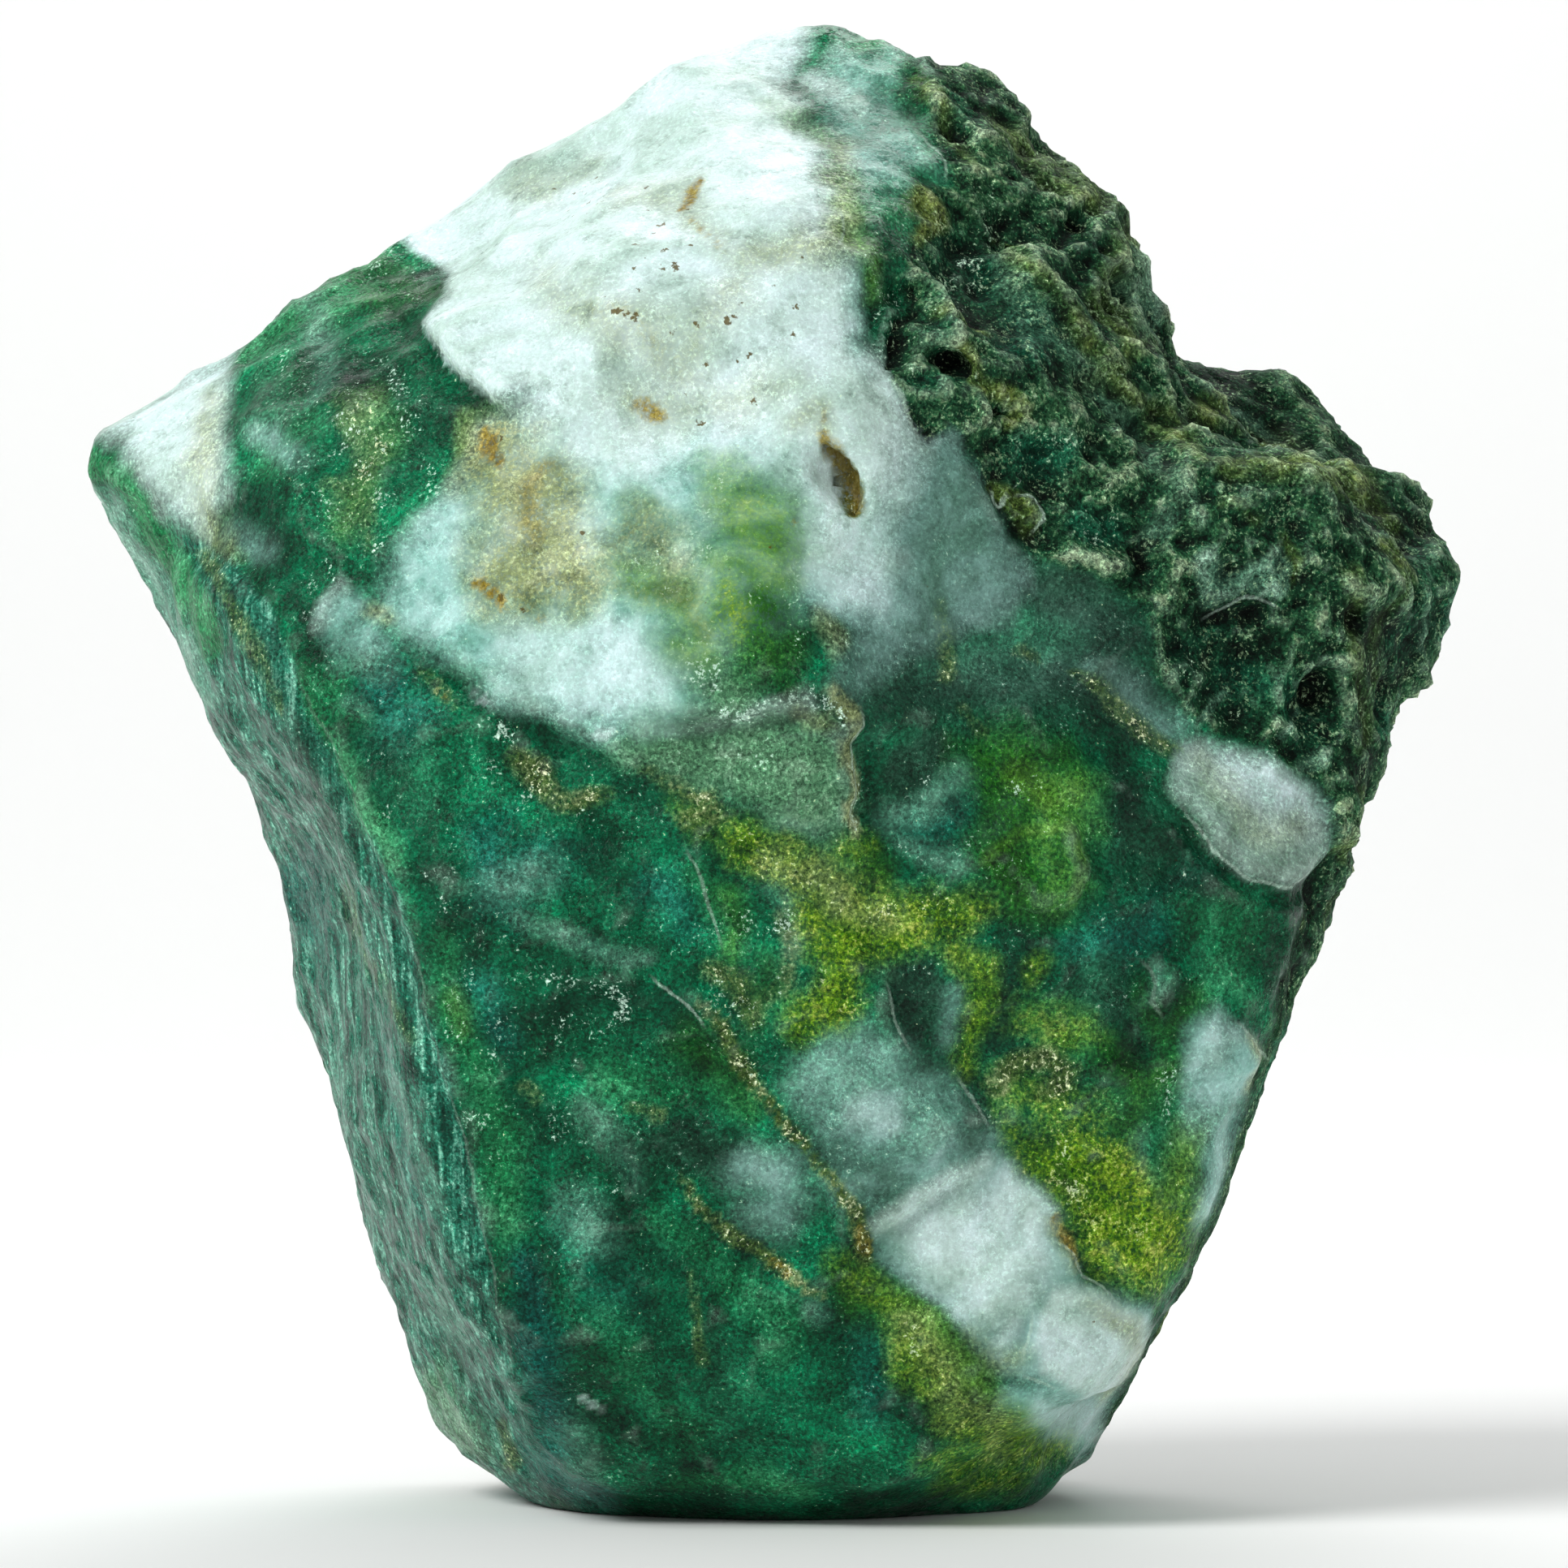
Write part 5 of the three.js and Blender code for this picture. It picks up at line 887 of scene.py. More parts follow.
def bulges(mesh, points, normals, passes):
    # how far each point stands out from the middle of its neighbours, in mm
    edges = np.empty(len(mesh.edges) * 2, dtype=np.int64)
    mesh.edges.foreach_get("vertices", edges)
    first, second = edges.reshape(-1, 2).T
    count = np.bincount(edges, minlength=len(points))[:, None]
    around = points
    for step in range(passes):
        total = np.zeros_like(around)
        for axis in range(3):
            total[:, axis] = np.bincount(first, around[second, axis], len(points))
            total[:, axis] += np.bincount(second, around[first, axis], len(points))
        around = total / count
    return np.sum((points - around) * normals, axis=1)


def mineralCover(points, seenX, seenZ, normals):
    # how much of each mineral is at each point of the skin, 0 to 1
    strayX = layered(softNoise, points, *spread["strayX"])
    strayZ = layered(softNoise, points, *spread["strayZ"])
    farther = smoothStep(*spread["bendFrom"], points[:, 1])
    bendX = layered(softNoise, points, spread["bendX"]) * farther
    bendZ = layered(softNoise, points, spread["bendZ"]) * farther
    cover = {}
    for mineral, places in patches.items():
        most = np.zeros(len(points))
        for name, soft, wander, strength, line in places:
            x = seenX + strayX * wander + bendX
            z = seenZ + strayZ * wander + bendZ
            measure = outlineDistance if len(line[0]) == 2 else streakDistance
            most = np.maximum(most, strength * smoothStep(-soft, soft, measure(x, z, line)))
        cover[mineral] = most

    # behind the middle the broken stone gives way to rind, in tongues
    edge = layered(cloudNoise, points, *spread["backEdge"])
    turned = spread["backTurn"] * np.minimum(normals[:, 1] - 0.35, 0)
    behind = smoothStep(*spread["backFrom"], points[:, 1] + edge + turned)
    rightSide = smoothStep(0.8, 0.92, normals[:, 0]) * smoothStep(-11, -8, points[:, 1])

    # in a few places the rind is chipped off and green and milky chalcedony shows
    chips = cloudNoise(points, spread["chipSize"], spread["chipSeed"]) + 0.1 * softNoise(points, 1.6, 2.2)
    chipped = behind * smoothStep(*spread["chipsFrom"], chips)
    around = {"chipped": chipped, "rind": np.maximum(behind, rightSide) * (1 - chipped)}
    patterns = {
        "milky": cloudNoise(points * [1, 1, 1.8], spread["milkySize"], 33.3),
        "patchy": cloudNoise(points, spread["patchySize"], 5.6),
        "facets": cloudNoise(points, spread["facetSize"], 1.9),
    }
    for mineral in cover:
        cover[mineral] = cover[mineral] * (1 - behind)
    cover["rind"] = np.maximum(cover["rind"], around["rind"])
    for mineral, place, most, pattern, none, full in spread["hidden"]:
        held = around[place] * most * smoothStep(none, full, patterns[pattern])
        cover[mineral] = np.maximum(cover[mineral], held)
    return cover


def relief(points, seenX, seenZ, cover, side, proud):
    # how far the skin stands out from the smooth form, in mm
    form = stoneForm
    rind = cover["rind"]
    left = cover["leftFace"] * (1 - rind)
    calm = np.maximum(np.maximum(cover["milk"], cover["blueGrey"]), cover["ice"] * 0.8) * (1 - rind)
    rough = np.maximum(np.maximum(cover["moss"], cover["sugar"]), cover["brown"] * 0.7)

    height = layered(scoops, points, form["bigScoops"]) * mix(1, 0.6, left)
    height += layered(scoops, points, form["middleScoops"]) * mix(mix(1, 0.75, calm), 0.4, left)
    height += layered(scoops, points, form["smallScoops"]) * mix(mix(1, 0.5, calm), 1.8, rough)
    height += layered(cloudNoise, points, form["swells"])
    height += layered(cloudNoise, points, form["grit"]) * mix(mix(1, 0.5, calm), 2, rough)

    # fine steps along the left face, as the lump split there
    lean = form["leftTilt"]
    across = points[:, 0] * math.cos(lean) + points[:, 2] * math.sin(lean)
    up = points[:, 2] * math.cos(lean) - points[:, 0] * math.sin(lean)
    along = np.stack([across, points[:, 1], up * 0.13], axis=1)
    height += left * layered(softNoise, along, *form["striations"])
    height *= 1 - rind

    # ridges, crumbs, grit and pits of the rind, calmer on the back and low down on the front
    rindHeight = layered(ridgeNoise, points, form["rindRidges"]) + layered(crumbs, points, form["rindCrumbs"])
    rindHeight += layered(ridgeNoise, points, form["rindGrit"])
    pitDepth, pitSize, pitSeed = form["rindPits"]
    pitNear, pitMiddles = cells(points, pitSize, pitSeed)
    pitted = cellLuck(pitMiddles, 2.9) > form["pitLuck"]
    pits = pitDepth * pitted * smoothStep(0.36, 0.12, pitNear)
    pits *= 1 - smoothStep(form["pitsRightOf"], form["pitsRightOf"] - 0.8, seenX) * (points[:, 1] < 0)
    rindHeight -= pits
    height += rind * rindHeight * mix(1, form["backCalm"], smoothStep(2, 5, points[:, 1]))
    lowFront = smoothStep(21, 17, points[:, 2]) * smoothStep(4, 1, points[:, 1])
    height -= rind * rindHeight * (1 - form["lowCalm"]) * lowFront

    # one side of each rim stands a little proud of the other
    height += proud * np.tanh(side / form["rimSharpness"])
    front = points[:, 1] < form["dentsBefore"]
    for name, depth, soft, line in dents:
        height -= depth * smoothStep(-soft, soft, streakDistance(seenX, seenZ, line)) * front

    # the foot stays flat
    height *= smoothStep(*form["footFrom"], points[:, 2])
    return height, rindHeight


def makeStone():
    stone = fineStone()
    mesh = stone.data
    points = pointsOf(mesh)
    nearer = view["distance"] / (view["distance"] + points[:, 1])
    seenX = view["aimX"] + (points[:, 0] - view["aimX"]) * nearer
    seenZ = view["aimZ"] + (points[:, 2] - view["aimZ"]) * nearer
    normals = normalsOf(mesh)
    cover = mineralCover(points, seenX, seenZ, normals)
    # pale is the strength of the painted highlight along the nearest rim
    side, proud, pale = rimPlaces(seenX + 0.12 * softNoise(points, 1.1, 4.4), points[:, 1], seenZ)
    height, rindHeight = relief(points, seenX, seenZ, cover, side, proud)
    points = points + normals * height[:, None]
    points[:, 2] = np.maximum(points[:, 2], 0)
    setPoints(mesh, points)
    mesh.shade_smooth()
    for mineral, amount in cover.items():
        setAttribute(mesh, mineral, amount)
    setAttribute(mesh, "rimSide", side)
    setAttribute(mesh, "rimPaintedHighlight", pale)
    setAttribute(mesh, "crest", bulges(mesh, points, normalsOf(mesh), 3))
    setAttribute(mesh, "rindHeight", rindHeight)
    return stone


stone = makeStone()
print("stone shaped:", len(stone.data.polygons), "faces")


def linearOf(hexColour):
    # an sRGB hex colour as linear red, green, blue and alpha
    parts = [int(hexColour[i:i + 2], 16) / 255 for i in (1, 3, 5)]
    return [c / 12.92 if c <= 0.04045 else ((c + 0.055) / 1.055) ** 2.4 for c in parts] + [1]


def addNode(tree, kind, links=None, output=0, stops=None, **settings):
    # one node with its settings, its inputs linked to sockets or set to values; gives back one of its outputs
    node = tree.nodes.new(kind)
    for name, value in settings.items():
        setattr(node, name, value)
    for name, value in (links or {}).items():
        if isinstance(value, bpy.types.NodeSocket):
            tree.links.new(value, node.inputs[name])
        else:
            node.inputs[name].default_value = value
    for spot, (place, colour) in enumerate(stops or []):
        elements = node.color_ramp.elements
        element = elements[spot] if spot < 2 else elements.new(place)
        element.position = place
        element.color = linearOf(colour)
    return node.outputs[output] if node.outputs else node


# Chalcedony: quartz too fine to see, coloured by what grew in it. Clear green clouds, milky quartz, moss-like
# yellow and green growth, iron stains, and a weathered rind. It breaks with a waxy shine.
agateLook = {
    # how wide in mm, how many finer layers, how rough, how twisted, and whether it lies elsewhere
    "patterns": {
        "cloud": (4.5, 4, 0.55, 0.9, False),
        "mottle": (1.4, 5, 0.6, 0.5, False),
        "grain": (0.32, 3, 0.6, 0, False),
        "dust": (0.135, 3, 0.65, 0.4, False),
        "otherMottle": (1.4 / 1.3, 4, 0.65, 0, True),
        "otherDust": (0.135, 3, 0.65, 0.4, True),
    },
    "elsewhere": (31, 17, 53),
    "streakScale": (4, 1.8, 0.2),           # streaks to a mm: across, in depth and along
    # where a mineral's colour lies between its dark and its light: the share of each pattern in each shade
    "shades": {
        "soft": [("cloud", 0.7), ("mottle", 0.25), ("grain", 0.05)],
        "fine": [("cloud", 0.5), ("mottle", 0.28), ("dust", 0.22)],
        "rough": [("cloud", 0.1), ("mottle", 0.35), ("grain", 0.25), ("dust", 0.3)],
        "streak": [("streak", 0.55), ("mottle", 0.2), ("dust", 0.25)],
        "rind": [("cloud", 0.2), ("mottle", 0.25), ("grain", 0.3), ("dust", 0.25)],
    },
    "rindPaintedLightAndShadeByHeight": 0.12,  # painted light and shade: how much paler the rind is for each mm of relief, darker down in its pits
    "rindPaintedLightAndShadeByCrest": 0.7,    # and for each mm that its crests stand out, darker where it sinks into hollows
    "chipSize": 0.55,      # mm
    "chipWobble": 0.6,     # mm that their edges stray
    "wispWidth": 0.012,    # of the other mottle's range
    "wispShare": 0.3,
    "wispWhere": (0.45, 0.6),               # of the cloud's range, where they begin and where they are full
    "rimWidth": 0.09,      # mm to each side
    "rimHighlightShare": 0.6,
    "rimStray": 0.5,
    # painted highlight on crests and painted shade in hollows: mm that the skin stands out, from and to, how
    # much, colour and blend
    "paintedCrestLightAndHollowShade": [
        (0.03, 0.2, 0.25, "#c0dccb", "MIX"),
        (-0.02, -0.16, 0.45, "#10241b", "MULTIPLY"),
    ],
    "clumpWhere": (0.47, 0.62),             # of the other mottle's range, as above
    "paintedGlintWhere": (0.52, 0.72),             # of the other dust's range, for the painted glints
    "creaseWidth": (0.022, 0.004),          # of the grain's range, at its edge and at its middle
    "grainPaint": (2.8, 1.6, 0.6, 1.98),    # how strongly dust, painted glints and chips show, and their middle
    "grainFrom": (0.71, 0.2, 0.11),         # the least dust that shows, how much less in a crowd, its edge
    "speckLuck": (0.4, 0.7),                # which chips hold a speck
    "speckSize": 0.42,     # of a chip
    "speckShare": 0.9,
    # the next three are for green, for milky parts and for rind
    "paintStir": (0.75, 0.2, 1.0),          # how much of the grain paint shows
    "faceTilt": (0.55, 0.12, 0.9),          # how far crystal faces lean
    "faceGrain": (0.7, 0.3, 1.0),           # how deep the grain on them is
    "grainDepth": 0.16,    # mm
    "shine": (0.1, 0.6, 0.75),              # roughness of the smoothest and roughest grains, and of rind
    "specular": 0.11,
    "ior": 1.54,
    "milkDepth": 0.8,      # mm that light goes into milky parts
    "milkRadii": (1.0, 1.3, 1.1),           # and how that differs for red, green and blue
    "milkShare": 0.3,
    "raggedness": 1.4,     # of the edges of all layers
    "base": [(0.37, "#002819"), (0.46, "#00492d"), (0.55, "#006c46"), (0.65, "#009661")],
    # mineral, which pattern shades it, how ragged and how blurred its edge is, its colours from dark to light
    "layers": [
        ("leftFace", "streak", 0.6, 0.3, [
            (0.4, "#02392a"), (0.47, "#105944"), (0.54, "#2a7a62"), (0.62, "#78bba2")]),
        ("teal", "fine", 1.4, 0.45, [(0.38, "#023d36"), (0.5, "#0a6356"), (0.64, "#339583")]),
        ("deep", "fine", 1.4, 0.45, [(0.38, "#001d13"), (0.5, "#013422"), (0.64, "#075238")]),
        ("leek", "fine", 1.5, 0.45, [(0.38, "#085a32"), (0.5, "#1c7d49"), (0.64, "#58b07b")]),
        ("mist", "soft", 1.6, 0.48, [(0.38, "#3d7d66"), (0.5, "#68a28a"), (0.64, "#a4cdbc")]),
        ("dusk", "fine", 1.2, 0.48, [(0.38, "#08261a"), (0.5, "#153e2c"), (0.64, "#33654e")]),
        ("blueGrey", "soft", 1.2, 0.5, [(0.38, "#62917f"), (0.5, "#83b0a6"), (0.64, "#abcfcb")]),
        ("ice", "soft", 1.5, 0.48, [(0.38, "#62a08c"), (0.5, "#88c0b4"), (0.64, "#b9dfda")]),
        ("milk", "soft", 1.2, 0.45, [
            (0.36, "#adcbbe"), (0.44, "#c2ddd4"), (0.53, "#d3ebe8"), (0.64, "#e1f6f9")]),
        ("sage", "fine", 1.2, 0.48, [(0.38, "#356447"), (0.5, "#568a64"), (0.64, "#94bd9c")]),
        ("grass", "fine", 1.5, 0.48, [(0.38, "#0c3a0c"), (0.5, "#25661c"), (0.64, "#5c9c40")]),
        ("olive", "fine", 1.5, 0.45, [(0.38, "#3a6813"), (0.5, "#5c8e30"), (0.64, "#98bd6a")]),
        ("moss", "rough", 2.2, 0.45, [
            (0.38, "#1d4a08"), (0.46, "#3e720e"), (0.54, "#719b18"), (0.64, "#bccb58")]),
        ("cream", "fine", 2.2, 0.45, [(0.38, "#66764a"), (0.5, "#909e6e"), (0.62, "#bcc8a0")]),
        ("brown", "rough", 2.4, 0.3, [(0.38, "#213a14"), (0.5, "#48662f"), (0.64, "#93a574")]),
        ("rust", "rough", 2.6, 0.3, [(0.38, "#564706"), (0.5, "#877626"), (0.64, "#bbb474")]),
        ("rind", "rind", 1.6, 0.35, [
            (0.3, "#010d07"), (0.42, "#062516"), (0.51, "#15442a"), (0.6, "#396a44"), (0.72, "#98b184")]),
        ("glow", "rind", 1.6, 0.45, [
            (0.3, "#02241a"), (0.48, "#084b34"), (0.66, "#2d8660"), (0.8, "#79bf9b")]),
        ("crust", "rind", 2.0, 0.4, [
            (0.3, "#162f0a"), (0.48, "#496328"), (0.64, "#84984f"), (0.8, "#c3cf90")]),
        ("facet", "rind", 1.8, 0.4, [
            (0.3, "#2c5644"), (0.48, "#5a8a70"), (0.66, "#92bda4"), (0.8, "#d3e6d8")]),
    ],
    # the colour of the painted highlight along the rims of flakes
    "paintedEdgeHighlight": "#c0dccb",
    "wisp": "#58b88c",
    "speck": "#5a4a0c",
    # crushed pale grains, which also stand in for painted glints: what holds them, their pattern, how many
    # more lie about in clumps, their most and colour
    "grains": [
        ("sugar", "dust", 0.42, 0.8, "#c2e2d0"),
        ("goldSugar", "otherDust", 0, 0.85, "#c2cba4"),
        ("brown", "otherDust", 0, 0.8, "#c2cba4"),
        ("rind", "dust", 0, 0.45, "#93b286"),
        ("moss", "dust", 0, 0.45, "#bcc46c"),
    ],
}


def makeAgate():
    material = bpy.data.materials.new("mossAgateChalcedony")
    material.use_nodes = True
    tree = material.node_tree
    tree.nodes.clear()
    look = agateLook
    amounts = {name: addNode(tree, "ShaderNodeAttribute", output=2, attribute_name=name)
               for name in [*patches, "rimSide", "rimPaintedHighlight", "crest", "rindHeight"]}

    place = addNode(tree, "ShaderNodeTexCoord", output=3)
    place = addNode(tree, "ShaderNodeVectorMath", {0: place, "Scale": 1 / mm}, operation="SCALE")

    # clouds, mottles, grain and dust, each finer than the one before, and a mottle and a dust from elsewhere
    elsewhere = addNode(tree, "ShaderNodeVectorMath", {0: place, 1: look["elsewhere"]}, operation="ADD")
    patterns = {}
    for name, (size, finer, rough, twist, moved) in look["patterns"].items():
        patterns[name] = addNode(tree, "ShaderNodeTexNoise", {
            "Vector": elsewhere if moved else place, "Scale": 1 / size, "Detail": finer,
            "Roughness": rough, "Distortion": twist})
    cloud, mottle, grain, dust, otherMottle, otherDust = patterns.values()
    leaning = addNode(tree, "ShaderNodeMapping", {
        "Vector": place, "Rotation": (0, stoneForm["leftTilt"], 0), "Scale": look["streakScale"]})
    patterns["streak"] = addNode(tree, "ShaderNodeTexNoise", {
        "Vector": leaning, "Scale": 1, "Detail": 3, "Roughness": 0.6, "Distortion": 0.25})

    wobbled = addNode(tree, "ShaderNodeVectorMath", {
        0: grain.node.outputs["Color"], 1: [look["chipWobble"]] * 3, 2: place}, operation="MULTIPLY_ADD")
    chips = addNode(tree, "ShaderNodeTexVoronoi", {"Vector": wobbled, "Scale": 1 / look["chipSize"]})
    luck = chips.node.outputs["Color"]

    # each shade from its patterns, and the rind's by its relief too, as painted light on its crests and
    # painted shade in its pits
    shades = {}
    for kind, parts in look["shades"].items():
        total = 0.0
        for name, share in parts:
            total = addNode(tree, "ShaderNodeMath", {0: patterns[name], 1: share, 2: total},
                            operation="MULTIPLY_ADD")
        shades[kind] = total
    for amount, share in ("rindHeight", look["rindPaintedLightAndShadeByHeight"]), ("crest", look["rindPaintedLightAndShadeByCrest"]):
        shades["rind"] = addNode(tree, "ShaderNodeMath", {
            0: amounts[amount], 1: share, 2: shades["rind"]}, operation="MULTIPLY_ADD")

    # two patterns of ragged edge, about -0.15 to 0.15
    ragged = []
    for broad, narrow, share in ((mottle, grain, 2.2), (otherMottle, dust, 0.8)):
        both = addNode(tree, "ShaderNodeMath", {0: broad, 1: share, 2: narrow}, operation="MULTIPLY_ADD")
        ragged.append(addNode(tree, "ShaderNodeMath", {0: both, 1: 1 / (1 + share), 2: -0.5},
                              operation="MULTIPLY_ADD"))

    colour = addNode(tree, "ShaderNodeValToRGB", {"Fac": shades["fine"]}, stops=look["base"])
    # thin pale wisps that wind through the green
    offWisp = addNode(tree, "ShaderNodeMath", {0: otherMottle, 1: 0.5}, operation="SUBTRACT")
    offWisp = addNode(tree, "ShaderNodeMath", {0: offWisp}, operation="ABSOLUTE")
    wisp = addNode(tree, "ShaderNodeMapRange", {
        "Value": offWisp, "From Min": look["wispWidth"], "From Max": 0.0, "To Max": look["wispShare"]})
    begin, full = look["wispWhere"]
    wispy = addNode(tree, "ShaderNodeMapRange", {"Value": cloud, "From Min": begin, "From Max": full})
    wisp = addNode(tree, "ShaderNodeMath", {0: wisp, 1: wispy}, operation="MULTIPLY")
    colour = addNode(tree, "ShaderNodeMix", {0: wisp, 6: colour, 7: linearOf(look["wisp"])},
                     output=2, data_type="RGBA")

    covers = {}
    for mineral, kind, rag, blur, stops in look["layers"]:
        cover = addNode(tree, "ShaderNodeMath", {
            0: ragged[kind in ("rough", "fine")], 1: rag * look["raggedness"], 2: 1.0},
            operation="MULTIPLY_ADD")
        cover = addNode(tree, "ShaderNodeMath", {0: cover, 1: amounts[mineral]}, operation="MULTIPLY")
        covers[mineral] = addNode(tree, "ShaderNodeMapRange", {
            "Value": cover, "From Min": 0.5 - blur, "From Max": 0.5 + blur})
        layer = addNode(tree, "ShaderNodeValToRGB", {"Fac": shades[kind]}, stops=stops)
        colour = addNode(tree, "ShaderNodeMix", {0: covers[mineral], 6: colour, 7: layer},
                         output=2, data_type="RGBA")

    # painted highlight on sharp edges, and painted shade darkening the hollows
    for begin, full, most, tint, blend in look["paintedCrestLightAndHollowShade"]:
        standing = addNode(tree, "ShaderNodeMapRange", {
            "Value": amounts["crest"], "From Min": begin, "From Max": full, "To Max": most})
        colour = addNode(tree, "ShaderNodeMix", {0: standing, 6: colour, 7: linearOf(tint)},
                         output=2, data_type="RGBA", blend_type=blend)

    # painted highlight along the rims of flakes
    strayed = addNode(tree, "ShaderNodeMath", {0: ragged[0], 1: look["rimStray"], 2: amounts["rimSide"]},
                      operation="MULTIPLY_ADD")
    offLine = addNode(tree, "ShaderNodeMath", {0: strayed}, operation="ABSOLUTE")
    rim = addNode(tree, "ShaderNodeMapRange", {
        "Value": offLine, "From Min": look["rimWidth"], "From Max": 0.02, "To Max": look["rimHighlightShare"]},
        interpolation_type="SMOOTHSTEP")
    rim = addNode(tree, "ShaderNodeMath", {0: rim, 1: amounts["rimPaintedHighlight"]}, operation="MULTIPLY")
    colour = addNode(tree, "ShaderNodeMix", {0: rim, 6: colour, 7: linearOf(look["paintedEdgeHighlight"])},
                     output=2, data_type="RGBA")

    # crushed grains of sugar quartz, gold-stained grains, and pale grains in the rind and the moss, also
    # painted glints:
    # dust that only shows where it is thickest, and more of it where each kind is crowded
    begin, full = look["clumpWhere"]
    clump = addNode(tree, "ShaderNodeMapRange", {"Value": otherMottle, "From Min": begin, "From Max": full})
    sparse, crowding, edge = look["grainFrom"]
    for mineral, pattern, about, most, tint in look["grains"]:
        crowd = addNode(tree, "ShaderNodeMath", {0: clump, 1: 0.6, 2: 0.5}, operation="MULTIPLY_ADD")
        held = covers.get(mineral, amounts[mineral])
        crowd = addNode(tree, "ShaderNodeMath", {0: crowd, 1: held}, operation="MULTIPLY")
        crowd = addNode(tree, "ShaderNodeMath", {0: clump, 1: about, 2: crowd}, operation="MULTIPLY_ADD")
        least = addNode(tree, "ShaderNodeMath", {0: crowd, 1: -crowding, 2: sparse}, operation="MULTIPLY_ADD")
        full = addNode(tree, "ShaderNodeMath", {0: least, 1: edge}, operation="ADD")
        paleGrainAndGlint = addNode(tree, "ShaderNodeMapRange", {
            "Value": patterns[pattern], "From Min": least, "From Max": full, "To Max": most})
        colour = addNode(tree, "ShaderNodeMix", {0: paleGrainAndGlint, 6: colour, 7: linearOf(tint)},
                         output=2, data_type="RGBA")

    # brown specks, each in the middle of its own chip
    begin, full = look["speckLuck"]
    lucky = addNode(tree, "ShaderNodeMapRange", {
        "Value": luck, "From Min": begin, "From Max": full, "To Max": look["speckSize"]})
    speckSize = addNode(tree, "ShaderNodeMath", {0: lucky, 1: amounts["specks"]}, operation="MULTIPLY")
    uneven = addNode(tree, "ShaderNodeMath", {0: dust, 1: 0.5, 2: -0.25}, operation="MULTIPLY_ADD")
    uneven = addNode(tree, "ShaderNodeMath", {0: chips, 1: uneven}, operation="ADD")
    inside = addNode(tree, "ShaderNodeMath", {0: speckSize, 1: uneven}, operation="SUBTRACT")
    speck = addNode(tree, "ShaderNodeMapRange", {
        "Value": inside, "From Max": 0.1, "To Max": look["speckShare"]})
    colour = addNode(tree, "ShaderNodeMix", {0: speck, 6: colour, 7: linearOf(look["speck"])},
                     output=2, data_type="RGBA")

    # milky parts are calm, and on the rest dust, painted glints, chips and creases make each grain lighter or
    # darker
    calm = addNode(tree, "ShaderNodeMath", {0: covers["milk"], 1: covers["blueGrey"]}, operation="MAXIMUM")
    calm = addNode(tree, "ShaderNodeMath", {0: calm, 1: covers["ice"]}, operation="MAXIMUM")
    gritty = addNode(tree, "ShaderNodeMath", {0: covers["cream"], 1: 0.6}, operation="MULTIPLY")
    still = addNode(tree, "ShaderNodeMath", {0: calm, 1: gritty}, operation="SUBTRACT")
    # what differs between green, milky parts and rind, and how rough each grain is
    byPart = {}
    for name, part in ("paintStir", still), ("faceTilt", calm), ("faceGrain", calm), ("shine", grain):
        low, high, rindy = look[name]
        onStone = addNode(tree, "ShaderNodeMapRange", {"Value": part, "To Min": low, "To Max": high})
        byPart[name] = addNode(tree, "ShaderNodeMix", {0: covers["rind"], 2: onStone, 3: rindy})
    dusty, glintStrength, chipped, middle = look["grainPaint"]
    # painted glints: the brightest of the other dust lightens the grain's own colour
    begin, full = look["paintedGlintWhere"]
    paintedGlint = addNode(tree, "ShaderNodeMapRange", {
        "Value": otherDust, "From Min": begin, "From Max": full, "To Max": glintStrength})
    offCrease = addNode(tree, "ShaderNodeMath", {0: grain, 1: 0.5}, operation="SUBTRACT")
    offCrease = addNode(tree, "ShaderNodeMath", {0: offCrease}, operation="ABSOLUTE")
    creased = addNode(tree, "ShaderNodeMath", {0: clump, 1: 1.2, 2: 0.2}, operation="MULTIPLY_ADD")
    begin, full = look["creaseWidth"]
    crease = addNode(tree, "ShaderNodeMapRange", {
        "Value": offCrease, "From Min": begin, "From Max": full, "To Max": creased})
    grainToneAndGlint = addNode(tree, "ShaderNodeMath", {0: dust, 1: dusty, 2: paintedGlint}, operation="MULTIPLY_ADD")
    grainToneAndGlint = addNode(tree, "ShaderNodeMath", {0: grainToneAndGlint, 1: crease}, operation="ADD")
    grainToneAndGlint = addNode(tree, "ShaderNodeMath", {0: luck, 1: chipped, 2: grainToneAndGlint}, operation="MULTIPLY_ADD")
    grainToneAndGlint = addNode(tree, "ShaderNodeMath", {0: grainToneAndGlint, 1: middle}, operation="SUBTRACT")
    grainToneAndGlint = addNode(tree, "ShaderNodeMath", {0: grainToneAndGlint, 1: byPart["paintStir"], 2: 1.0},
                      operation="MULTIPLY_ADD")
    grainToneAndGlint = addNode(tree, "ShaderNodeMath", {0: grainToneAndGlint, 1: 0.25}, operation="MAXIMUM")
    colour = addNode(tree, "ShaderNodeMix", {0: 1.0, 6: colour, 7: grainToneAndGlint},
                     output=2, data_type="RGBA", blend_type="MULTIPLY")

